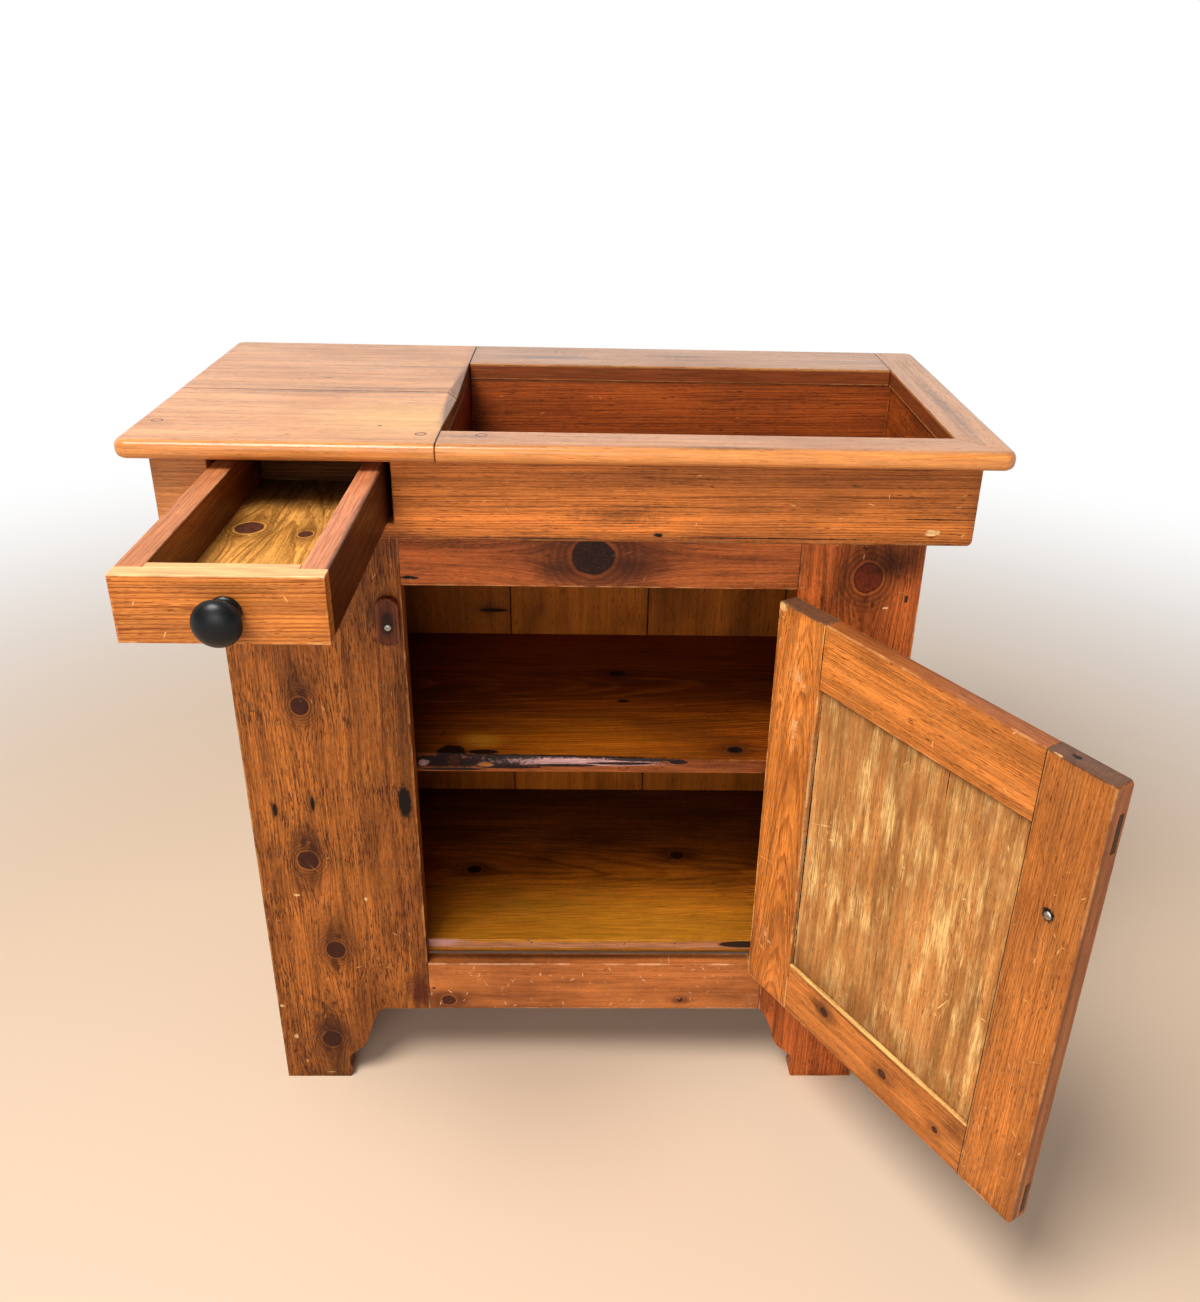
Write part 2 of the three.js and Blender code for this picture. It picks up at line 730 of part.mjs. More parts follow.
const door_x = [opening_left + door_side_gap - hinge_axis_x, -hinge_gap / 2];
const door_y = [pin_stand_off, pin_stand_off + door_thick];
const door_inner_x = [door_x[0] + door_lock_stile_width, door_x[1] - door_hinge_stile_width];
const door_inner_z = [door_foot + door_bottom_rail_height, door_top - door_top_rail_height];
const door_tenon_y = [door_y[0] + door_tenon_in, door_y[0] + door_tenon_in + door_tenon_thick];
const top_tenon_z = [door_top - door_tenon_drop - door_tenon_height, door_top - door_tenon_drop];
const foot_tenon_z = [door_foot + door_tenon_lift, door_foot + door_tenon_lift + door_tenon_height];
const panel_inner_y = door_y[1] - panel_recess;

// The groove that the panel's tongue stands in, all round the inside of the frame
function panelGroove() {
  const depth = panel_tongue_length + panel_play;
  return pocket(inset(door_inner_x, -depth), [panel_inner_y - panel_tongue_thick, panel_inner_y],
    inset(door_inner_z, -depth));
}

function doorStile(x) {
  const through = inset(x, -cut_overrun);
  const outline = roundedOutline(inset(door_x, seat_gap / 2),
    inset([door_foot, door_top], seat_gap / 2), door_corner_round);
  return board(x, door_y, [door_foot, door_top])
    .intersect(extruded(outline, "xz", door_y))
    .subtract(panelGroove())
    .subtract(pocket(through, door_tenon_y, top_tenon_z))
    .subtract(pocket(through, door_tenon_y, foot_tenon_z));
}

function doorRail(z, tenon_z) {
  return board(door_inner_x, door_y, z)
    .subtract(panelGroove())
    .add(board(door_x, door_tenon_y, tenon_z));
}

// A panel with a flat inner face, and an outer face that is bevelled down to its tongue
function doorPanel() {
  const x = inset(door_inner_x, -panel_tongue_length);
  const z = inset(door_inner_z, -panel_tongue_length);
  const x_field = inset(door_inner_x, panel_bevel);
  const z_field = inset(door_inner_z, panel_bevel);
  const back = panel_inner_y - seat_gap / 2;
  const shoulder = panel_inner_y - panel_tongue_thick + seat_gap / 2;
  const field = panel_inner_y - panel_thick;
  const x_outline = outlineOf([
    [x[0], back], [x[0], shoulder], [door_inner_x[0], shoulder], [x_field[0], field],
    [x_field[1], field], [door_inner_x[1], shoulder], [x[1], shoulder], [x[1], back],
  ]);
  const z_outline = outlineOf([
    [back, z[0]], [shoulder, z[0]], [shoulder, door_inner_z[0]], [field, z_field[0]],
    [field, z_field[1]], [shoulder, door_inner_z[1]], [shoulder, z[1]], [back, z[1]],
  ]);
  return extruded(x_outline, "xy", z).intersect(extruded(z_outline, "yz", x));
}

function door() {
  const group = new THREE.Group();
  const lock_x = [door_x[0], door_inner_x[0]];
  const hinge_x = [door_inner_x[1], door_x[1]];
  const knob_x = (lock_x[0] + lock_x[1]) / 2;
  const knob_z = door_top - door_knob_drop;
  let hinge_stile = doorStile(hinge_x);
  for (const foot of hinge_feet) {
    hinge_stile = hinge_stile.subtract(leafRecess(-1, foot));
  }
  group.add(
    piece("door_hinge_stile", "door", hinge_stile),
    piece("door_lock_stile", "door", doorStile(lock_x).subtract(knobHole(knob_x, knob_z, door_y))),
    piece("door_top_rail", "door", doorRail([door_inner_z[1], door_top], top_tenon_z)),
    piece("door_bottom_rail", "door", doorRail([door_foot, door_inner_z[0]], foot_tenon_z)),
    piece("door_panel", "panel", doorPanel()),
    ...knobAndScrew("door", knob_x, knob_z, ...door_y),
  );
  return group;
}

// Butt hinges, drawn shut with the pin along Z and the lowest knuckle on z = 0

// A leaf with its own knuckles: side_sign is 1 for the frame's leaf and -1 for the door's
function hingeLeaf(side_sign) {
  const spacing = hinge_length / knuckle_count;
  const x = ascending([side_sign * leaf_clear, side_sign * leaf_far]);
  const plate_start = knuckle_radius + leaf_tab_gap;
  let leaf = block(x, [plate_start, leaf_width], [0, hinge_length]);
  for (let i = side_sign > 0 ? 0 : 1; i < knuckle_count; i += 2) {
    const span = inset([i * spacing, (i + 1) * spacing], knuckle_gap / 2);
    leaf = leaf.add(upright(rod(knuckle_radius, span, 20)));
    leaf = leaf.add(block(x, [0, plate_start + leaf_thick], span));
  }
  const bore = upright(rod(pin_radius + pin_clearance, inset([0, hinge_length], -cut_overrun), 16));
  return leaf.subtract(bore);
}

function hingePin() {
  const low = -pin_head_length - knuckle_gap;
  const high = hinge_length - low;
  return upright(turned([
    [0, low], [pin_head_radius, low], [pin_head_radius, -knuckle_gap], [pin_radius, -knuckle_gap],
    [pin_radius, hinge_length + knuckle_gap], [pin_head_radius, hinge_length + knuckle_gap],
    [pin_head_radius, high], [0, high],
  ], 16));
}

// Turn button that holds the shut door, upright as photographed

function turnButton() {
  const group = new THREE.Group();
  const width = [-button_width / 2, button_width / 2];
  const foot = button_screw_offset - button_length / 2;
  const shape = roundedOutline(width, [foot, foot + button_length], button_width / 2 - button_bevel);
  const geometry = new THREE.ExtrudeGeometry(shape, {
    depth: button_thick - button_bevel * 2,
    bevelThickness: button_bevel,
    bevelSize: button_bevel,
    bevelOffset: -button_bevel,
    bevelSegments: 2,
    curveSegments: 6,
  });
  geometry.rotateX(Math.PI / 2);
  geometry.translate(0, -button_gap - button_bevel, 0);
  const face = -button_gap - button_thick;
  const head_seat = face + screw_head_height;
  const button = toSolid(geometry)
    .subtract(rod(knob_screw_radius + knob_hole_clearance, [face - cut_overrun, cut_overrun]))
    .subtract(rod(screw_head_radius + knob_hole_clearance, [face - cut_overrun, head_seat]));
  const screw = screwSolid(button_screw_into).rotate([180, 0, 0]);
  group.add(
    piece("turn_button", "dark", button),
    placed(piece("turn_button_screw", "steel", screw), 0, head_seat - seat_gap, 0),
  );
  group.position.set(button_x, 0, button_z);
  return group;
}

// The whole cabinet in its photographed pose

const opened_door = new THREE.Group();
opened_door.add(door());
opened_door.rotation.z = THREE.MathUtils.degToRad(door_open_degrees);
const hinge_line = new THREE.Group();
hinge_line.position.set(hinge_axis_x, -pin_stand_off, 0);
hinge_line.add(opened_door);
["hinge_top", "hinge_bottom"].forEach((name, i) => {
  const foot = hinge_feet[i];
  opened_door.add(placed(piece(`${name}_door_leaf`, "iron", hingeLeaf(-1)), 0, 0, foot));
  hinge_line.add(
    placed(piece(`${name}_frame_leaf`, "iron", hingeLeaf(1)), 0, 0, foot),
    placed(piece(`${name}_pin`, "iron", hingePin()), 0, 0, foot),
  );
});

const cabinet = new THREE.Group();
cabinet.add(cupboard(), upperBox(), drawerRunway(), topBoards(), drawer(), hinge_line, turnButton());
cabinet.position.set(-origin_x, -origin_y, 0);

const part = new THREE.Group();
part.add(cabinet);

export default part;
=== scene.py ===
"""Dry sink cabinet in old pine: finishes, small fittings, camera and studio."""

import json
import math

import bpy
from mathutils import Matrix, Vector


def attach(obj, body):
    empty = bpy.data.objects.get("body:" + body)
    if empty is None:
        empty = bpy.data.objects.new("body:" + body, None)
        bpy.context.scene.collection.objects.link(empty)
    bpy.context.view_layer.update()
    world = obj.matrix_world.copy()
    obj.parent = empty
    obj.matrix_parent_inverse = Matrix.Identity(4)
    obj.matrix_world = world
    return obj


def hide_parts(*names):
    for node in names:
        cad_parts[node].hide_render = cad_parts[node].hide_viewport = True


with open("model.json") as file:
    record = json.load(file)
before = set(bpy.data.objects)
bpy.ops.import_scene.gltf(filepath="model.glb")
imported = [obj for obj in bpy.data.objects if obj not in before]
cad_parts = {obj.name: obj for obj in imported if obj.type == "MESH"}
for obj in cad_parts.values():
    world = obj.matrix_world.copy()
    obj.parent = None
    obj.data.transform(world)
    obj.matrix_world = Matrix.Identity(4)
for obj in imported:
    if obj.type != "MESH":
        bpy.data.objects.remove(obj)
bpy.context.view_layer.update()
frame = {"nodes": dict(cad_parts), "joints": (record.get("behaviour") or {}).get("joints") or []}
scene = bpy.context.scene

MM = 0.001


def paint(code):
    """Linear colour of a six-digit screen colour."""
    shades = [int(code[i:i + 2], 16) / 255 for i in (0, 2, 4)]
    linear = [s / 12.92 if s <= 0.04045 else ((s + 0.055) / 1.055) ** 2.4 for s in shades]
    return (*linear, 1.0)


class Wiring:
    """Lays nodes in one tree. A value is a number, a tuple or another node's socket."""

    def __init__(self, tree):
        self.tree = tree

    def add(self, kind, **settings):
        node = self.tree.nodes.new(kind)
        for name, value in settings.items():
            setattr(node, name, value)
        return node

    def feed(self, socket, value):
        if isinstance(value, bpy.types.NodeSocket):
            self.tree.links.new(value, socket)
        elif value is not None:
            socket.default_value = value

    def fill(self, node, *values):
        for socket, value in zip(node.inputs, values):
            self.feed(socket, value)
        return node.outputs[0]

    def math(self, operation, *values, clamp=False):
        return self.fill(self.add("ShaderNodeMath", operation=operation, use_clamp=clamp), *values)

    def plus(self, a, b):
        return self.math("ADD", a, b)

    def minus(self, a, b):
        return self.math("SUBTRACT", a, b)

    def over(self, a, b):
        return self.math("DIVIDE", a, b)

    def times(self, result, *values):
        for value in values:
            result = self.math("MULTIPLY", result, value)
        return result

    def vector(self, operation, *values):
        node = self.add("ShaderNodeVectorMath", operation=operation)
        self.fill(node, *values)
        return node.outputs["Value" if operation in ("LENGTH", "DOT_PRODUCT", "DISTANCE") else 0]

    def split(self, vector):
        node = self.add("ShaderNodeSeparateXYZ")
        self.fill(node, vector)
        return node.outputs

    def join(self, x, y, z):
        return self.fill(self.add("ShaderNodeCombineXYZ"), x, y, z)

    def mix(self, factor, a, b, blend="MIX"):
        node = self.add("ShaderNodeMix", data_type="RGBA", blend_type=blend)
        self.feed(node.inputs[0], factor)
        self.feed(node.inputs[6], a)
        self.feed(node.inputs[7], b)
        return node.outputs[2]

    def smooth(self, value, low, high, first=0.0, last=1.0):
        node = self.add("ShaderNodeMapRange", interpolation_type="SMOOTHSTEP")
        return self.fill(node, value, low, high, first, last)

    def falling(self, value, low, high):
        return self.smooth(value, low, high, 1.0, 0.0)

    def noise(self, vector, scale, detail=2.0, roughness=0.5):
        node = self.add("ShaderNodeTexNoise")
        for name, value in zip(("Vector", "Scale", "Detail", "Roughness"),
                               (vector, scale, detail, roughness)):
            self.feed(node.inputs[name], value)
        return node.outputs[0]

    def stretched(self, vector, along, across, detail=2.0, roughness=0.5):
        """Noise drawn out along the grain."""
        return self.noise(self.vector("MULTIPLY", vector, (along, across, across)), 1.0, detail,
                          roughness)

    def group(self, tree, **values):
        node = self.add("ShaderNodeGroup", node_tree=tree)
        for name, value in values.items():
            self.feed(node.inputs[name.replace("_", " ")], value)
        return node.outputs


KNOT_CHECK = paint("160905")
OPEN_SEAM = paint("160A05")
SOCKETS = {"value": "NodeSocketFloat", "vector": "NodeSocketVector", "colour": "NodeSocketColor"}


def effect(name, inputs, outputs):
    """A new shader group, from sockets such as "vector: Point, Seed; value: Reach".

    Gives its wiring, the sockets that come in and a function that sends values out."""
    tree = bpy.data.node_groups.new(name, "ShaderNodeTree")
    for direction, listed in (("INPUT", inputs), ("OUTPUT", outputs)):
        for part in listed.split("; "):
            kind, labels = part.split(": ")
            for label in labels.split(", "):
                tree.interface.new_socket(label, in_out=direction, socket_type=SOCKETS[kind])
    wiring = Wiring(tree)
    entry = wiring.add("NodeGroupInput").outputs
    leave = wiring.add("NodeGroupOutput").inputs

    def send(**values):
        for label, value in values.items():
            wiring.feed(leave[label.replace("_", " ")], value)
        return tree

    return wiring, entry, send


def knot_effect():
    """Grain that parts round one knot. Near and Halo pass through, so that knots can be chained."""
    w, given, send = effect(
        "grain round a knot",
        "vector: Point, Centre; value: Radius, Near, Halo",
        "vector: Point; value: Near, Halo")
    along, across, _ = w.split(w.vector("SUBTRACT", given["Point"], given["Centre"]))
    wobble = w.minus(w.noise(given["Point"], 80.0, 2.0), 0.5)

    def reach(stretch):
        shrunk = w.times(along, stretch)
        square = w.plus(w.times(shrunk, shrunk), w.times(across, across))
        return w.over(w.math("SQRT", square), given["Radius"])

    flow = reach(0.4)
    share = w.math("MINIMUM", w.over(1.3, w.times(flow, flow)), 1.0)
    shift = w.times(across, share, -0.85)
    near = w.plus(reach(0.9), w.times(wobble, 0.22))
    halo = w.falling(w.plus(flow, w.times(wobble, 1.6)), 0.5, 2.6)
    return send(
        Point=w.vector("ADD", given["Point"], w.join(0.0, shift, 0.0)),
        Near=w.math("MINIMUM", given["Near"], near),
        Halo=w.math("MAXIMUM", given["Halo"], halo))


def grain_effect():
    """Growth rings round a pith line beside the board, with fibres, pores and changes of tone."""
    w, given, send = effect(
        "pine grain",
        "vector: Point, Pith; value: Spacing, Wander; vector: Seed",
        "value: Late, Fibre, Streak, Cloud, Pore")
    point = w.vector("ADD", given["Point"], given["Seed"])

    def stretched(along, across, detail=2.0, roughness=0.55):
        return w.stretched(point, along, across, detail, roughness)

    pith = w.split(given["Pith"])
    place = w.split(given["Point"])
    side = w.minus(place[1], pith[1])
    deep = w.minus(place[2], pith[2])
    ring = w.math("SQRT", w.plus(w.times(side, side), w.times(deep, deep)))
    ring = w.plus(ring, w.times(place[0], pith[0]))
    bend = w.times(w.minus(stretched(1.6, 7.0), 0.5), given["Wander"])
    ripple = w.times(w.minus(stretched(9.0, 60.0), 0.5), 0.0045)
    ring = w.plus(ring, w.plus(bend, ripple))
    phase = w.over(ring, given["Spacing"])
    uneven = w.noise(w.join(phase, 0.0, 0.0), 0.37, 1.0)
    phase = w.plus(phase, w.times(uneven, 2.6))
    turn = w.math("FRACT", phase)
    late = w.times(w.smooth(turn, 0.32, 0.82), w.falling(turn, 0.9, 1.0))
    strength = w.noise(w.join(w.math("FLOOR", phase), 7.0, 0.0), 0.73, 1.0)
    late = w.times(late, w.smooth(strength, 0.3, 0.6, 0.3, 1.0))
    late = w.times(late, w.smooth(stretched(24.0, 240.0), 0.3, 0.55, 0.45, 1.0))
    fibre = w.plus(w.times(stretched(16.0, 560.0), 0.5), w.times(stretched(6.0, 150.0), 0.5))
    return send(Late=late, Fibre=fibre, Streak=stretched(3.0, 46.0, 3.0, 0.65),
                Cloud=stretched(5.0, 12.0, 3.0, 0.6), Pore=stretched(75.0, 850.0, 1.0, 0.5))


def wear_effect():
    """Rubbed edges, grime beside them and dark seams, from the distances to a board's faces."""
    w, given, send = effect(
        "wear along edges",
        "vector: Point, Half, Seed; value: Reach; vector: Joined Low, Joined High; "
        "value: Seam Width",
        "value: Edge, Grime, Seam")
    gap = w.split(w.vector("SUBTRACT", given["Half"], w.vector("ABSOLUTE", given["Point"])))
    low = w.math("MINIMUM", gap[0], gap[1])
    high = w.math("MAXIMUM", gap[0], gap[1])
    second = w.math("MAXIMUM", low, w.math("MINIMUM", high, gap[2]))
    seeded = w.vector("ADD", given["Point"], given["Seed"])
    patchy = w.noise(seeded, 26.0, 3.0, 0.65)
    nibble = w.noise(seeded, 260.0, 2.0, 0.6)
    ragged = w.times(given["Reach"], w.plus(w.times(patchy, 0.7), w.times(nibble, 0.5)))
    share = w.over(second, ragged)
    seam = 0.0
    for label, operation in (("Joined Low", "ADD"), ("Joined High", "SUBTRACT")):
        to_face = w.vector(operation, given["Half"], given["Point"])
        for distance, joined in zip(w.split(to_face), w.split(given[label])):
            share_away = w.over(distance, given["Seam Width"])
            near = w.times(w.falling(share_away, 0.4, 1.0), joined)
            seam = w.math("MAXIMUM", seam, near)
    rubbed = w.times(w.falling(share, 0.35, 1.25), w.smooth(patchy, 0.42, 0.6))
    return send(
        Edge=w.times(rubbed, w.minus(1.0, seam)),
        Grime=w.falling(w.times(share, 0.2), 0.1, 1.3),
        Seam=seam)


def finish_effect():
    """Varnished pine from its grain, knots and wear: colour, roughness and height."""
    w, given, send = effect(
        "varnished pine",
        "vector: Point; value: Late, Fibre, Streak, Cloud, Pore, Near, Halo, Edge, Grime, Seam; "
        "colour: Early Wood, Late Wood, Stain, Knot, Rubbed; "
        "value: Contrast, Figure, Staining, Pores, Wear, Scuffs, Bleach, Base Roughness",
        "colour: Color; value: Roughness, Height")
    def nicks(scale, length, width, share):
        """Short scratches, at most one in each cell and each lying its own way."""
        spread = w.vector("MULTIPLY", point, (scale, scale, 0.0))
        cell = w.add("ShaderNodeTexVoronoi", voronoi_dimensions="2D")
        w.feed(cell.inputs["Vector"], spread)
        cell.inputs["Scale"].default_value = 1.0
        lie, size, chance = w.split(cell.outputs["Color"])
        middle = w.vector("MULTIPLY", cell.outputs["Position"], (1, 1, 0))
        away = w.vector("SUBTRACT", spread, middle)
        turned = w.add("ShaderNodeVectorRotate", rotation_type="Z_AXIS")
        w.feed(turned.inputs["Vector"], away)
        w.feed(turned.inputs["Angle"], w.times(lie, 6.3))
        along, across, _ = w.split(turned.outputs[0])
        wavy = w.plus(across, w.times(w.minus(w.noise(point, 300.0, 1.0), 0.5), width * 3.0))
        reach = w.vector("LENGTH", w.join(w.over(along, length), w.over(wavy, width), 0.0))
        reach = w.over(reach, w.plus(size, 0.25))
        there = w.math("LESS_THAN", chance, w.times(given["Scuffs"], share))
        return w.times(w.falling(reach, 0.5, 1.0), there)

    near, point = given["Near"], given["Point"]
    fibre = w.smooth(given["Fibre"], 0.36, 0.64)
    streak = w.smooth(given["Streak"], 0.34, 0.66)
    patch = w.noise(point, 15.0, 3.0, 0.6)
    ringed_wood = w.times(given["Late"], given["Contrast"])
    colour = w.mix(ringed_wood, given["Early Wood"], given["Late Wood"])
    figure = w.plus(w.times(fibre, 0.54), w.times(streak, 0.44))
    grit = w.stretched(point, 150.0, 1300.0, 2.0, 0.6)
    figure = w.plus(figure, w.times(w.minus(grit, 0.5), 1.5))
    shade = w.plus(0.95, w.times(w.minus(figure, 0.49), given["Figure"]))
    colour = w.mix(1.0, colour, w.join(shade, shade, shade), "MULTIPLY")
    colour = w.mix(w.times(w.smooth(given["Cloud"], 0.44, 0.68), given["Staining"]),
                   colour, given["Stain"])
    limit = w.minus(0.7, w.times(given["Pores"], 0.16))
    dash = w.smooth(w.minus(given["Pore"], limit), 0.0, 0.05)
    colour = w.mix(w.times(dash, w.smooth(patch, 0.32, 0.58, 0.3, 0.85)), colour, given["Stain"])
    broad = w.stretched(point, 11.0, 62.0, 4.0, 0.7)
    fine = w.stretched(point, 30.0, 760.0, 3.0, 0.7)
    bleached = w.times(w.smooth(broad, 0.44, 0.66), w.smooth(fine, 0.36, 0.6, 0.1, 1.0),
                       w.smooth(patch, 0.36, 0.6, 0.3, 1.2), given["Bleach"])
    colour = w.mix(bleached, colour, given["Rubbed"])
    colour = w.mix(w.times(given["Halo"], 0.55), colour, given["Stain"])
    ringed = w.math("FRACT", w.times(near, 2.7))
    around = w.times(w.smooth(near, 1.1, 1.3), w.falling(near, 1.6, 3.2))
    rings = w.times(w.smooth(ringed, 0.1, 0.7), w.falling(ringed, 0.85, 1.0), around)
    colour = w.mix(w.times(rings, 0.5), colour, given["Stain"])
    body = w.falling(near, 0.98, 1.08)
    colour = w.mix(w.times(body, 0.96), colour, given["Knot"])
    speckle = w.times(w.smooth(w.noise(point, 420.0, 2.0, 0.7), 0.5, 0.72), body)
    colour = w.mix(w.times(speckle, 0.3), colour, given["Late Wood"])
    pale_ring = w.times(w.smooth(near, 1.06, 1.13), w.falling(near, 1.18, 1.34))
    dark_ring = w.times(w.smooth(near, 0.94, 1.0), w.falling(near, 1.04, 1.1))
    veins = w.noise(w.vector("MULTIPLY", point, (90.0, 190.0, 90.0)), 1.0, 2.0)
    from_vein = w.math("ABSOLUTE", w.minus(veins, 0.5))
    checks = w.times(w.falling(from_vein, 0.0, 0.035), body)
    colour = w.mix(w.times(w.math("MAXIMUM", checks, dark_ring), 0.6), colour, KNOT_CHECK)
    colour = w.mix(w.times(pale_ring, w.smooth(patch, 0.35, 0.6, 0.1, 0.45)), colour,
                   given["Early Wood"])
    colour = w.mix(w.times(given["Grime"], given["Wear"], 0.5), colour, given["Stain"])
    worn = w.times(given["Edge"], given["Wear"])
    colour = w.mix(worn, colour, given["Rubbed"])
    marks = w.math("MAXIMUM", nicks(95.0, 0.4, 0.075, 0.4), nicks(24.0, 0.45, 0.016, 0.3))
    marks = w.times(marks, w.smooth(patch, 0.44, 0.56, 0.25, 1.0))
    colour = w.mix(w.times(marks, 0.8), colour, given["Rubbed"])
    colour = w.mix(w.times(given["Seam"], 0.92), colour, OPEN_SEAM)
    rough = w.plus(given["Base Roughness"], w.times(w.minus(given["Cloud"], 0.5), 0.3))
    rough = w.plus(rough, w.times(w.minus(0.5, fibre), 0.14))
    rough = w.math("ADD", rough, w.times(w.plus(worn, bleached), 0.15), clamp=True)
    height = w.plus(w.times(given["Late"], 0.4), w.times(fibre, 0.35))
    height = w.plus(height, w.times(w.noise(point, 22.0, 1.0), 2.2))
    height = w.minus(height, w.times(w.math("MAXIMUM", dark_ring, dash), 0.9))
    height = w.minus(height, w.times(marks, 0.8))
    return send(Color=colour, Roughness=rough, Height=height)


def mark_effect():
    """One stain, hole or pale patch laid over a colour and a height, with ragged or soft edges."""
    w, given, send = effect(
        "ragged mark",
        "vector: Point, Centre, Reach; value: Strength, Ragged, Solid; "
        "colour: Base Color, Mark; value: Height, Depth",
        "colour: Color; value: Height")
    away = w.vector("DIVIDE", w.vector("SUBTRACT", given["Point"], given["Centre"]), given["Reach"])
    coarse = w.minus(w.noise(given["Point"], 55.0, 3.0, 0.7), 0.5)
    fine = w.minus(w.noise(given["Point"], 240.0, 2.0, 0.6), 0.5)
    rough = w.times(w.plus(coarse, fine), given["Ragged"])
    rim = w.math("MINIMUM", 1.0, w.math("MULTIPLY_ADD", given["Solid"], 1.6, 1.0))
    mask = w.falling(w.plus(w.vector("LENGTH", away), rough), given["Solid"], rim)
    mask = w.times(mask, given["Strength"])
    lines = w.stretched(given["Point"], 22.0, 620.0, 3.0, 0.65)
    shade = w.smooth(lines, 0.34, 0.66, 0.62, 1.18)
    mark = w.mix(1.0, given["Mark"], w.join(shade, shade, shade), "MULTIPLY")
    return send(Color=w.mix(mask, given["Base Color"], mark),
                Height=w.minus(given["Height"], w.times(mask, given["Depth"])))


KNOT = knot_effect()
GRAIN = grain_effect()
WEAR = wear_effect()
FINISH = finish_effect()
MARK = mark_effect()

# What a finish of the pine sets, and the socket that takes it. The clear coat comes last
COLOURS = {"early": "Early_Wood", "late": "Late_Wood", "stain": "Stain", "knot": "Knot",
           "rubbed": "Rubbed"}
AMOUNTS = {"contrast": "Contrast", "figure": "Figure", "staining": "Staining", "pores": "Pores",
           "wear": "Wear", "scuffs": "Scuffs", "bleach": "Bleach", "rough": "Base_Roughness"}
PINES = {
    finish: dict(zip((*COLOURS, *AMOUNTS, "coat"), (*colours.split(), *amounts)))
    for finish, colours, *amounts in (
        ("top", "D28F54 A26230 7E3F18 5E2E1A EBB06A",
         0.62, 0.55, 0.25, 0.35, 0.35, 0.12, 0.0, 0.3, 0.4),
        ("case", "B06629 683110 451E0A 3C1710 D69A5E",
         0.65, 0.9, 0.5, 0.75, 0.5, 0.12, 0.0, 0.44, 0.05),
        ("inside", "A85810 6A2E04 3C1400 260A04 C88A34",
         0.8, 0.9, 0.5, 0.3, 0.2, 0.0, 0.0, 0.5, 0.0),
        ("well", "8E4214 5A240C 34100A 2A0E06 B06A36",
         0.6, 0.7, 0.4, 0.2, 0.4, 0.1, 0.0, 0.42, 0.1),
        ("door", "CE7A34 94501E 63300F 42190C EAAA66",
         0.75, 0.78, 0.35, 0.5, 0.6, 0.12, 0.1, 0.4, 0.06),
        ("panel", "B87A40 946030 76491F 56301A F0C880",
         0.4, 0.8, 0.5, 0.5, 0.2, 0.2, 0.75, 0.6, 0.0),
        ("drawer", "C87836 84400E 6E300E 4E1E10 EDB070",
         0.95, 0.7, 0.3, 0.3, 0.45, 0.06, 0.0, 0.42, 0.05),
        ("drawer_inside", "DA9848 8E5A24 5E3812 4A2620 E0B868",
         0.9, 0.8, 0.35, 0.4, 0.2, 0.05, 0.0, 0.42, 0.1),
        ("dark", "86421E 5A260E 301208 2E120C 9A6048",
         0.6, 0.9, 0.5, 0.5, 0.6, 0.2, 0.0, 0.42, 0.08),
    )
}

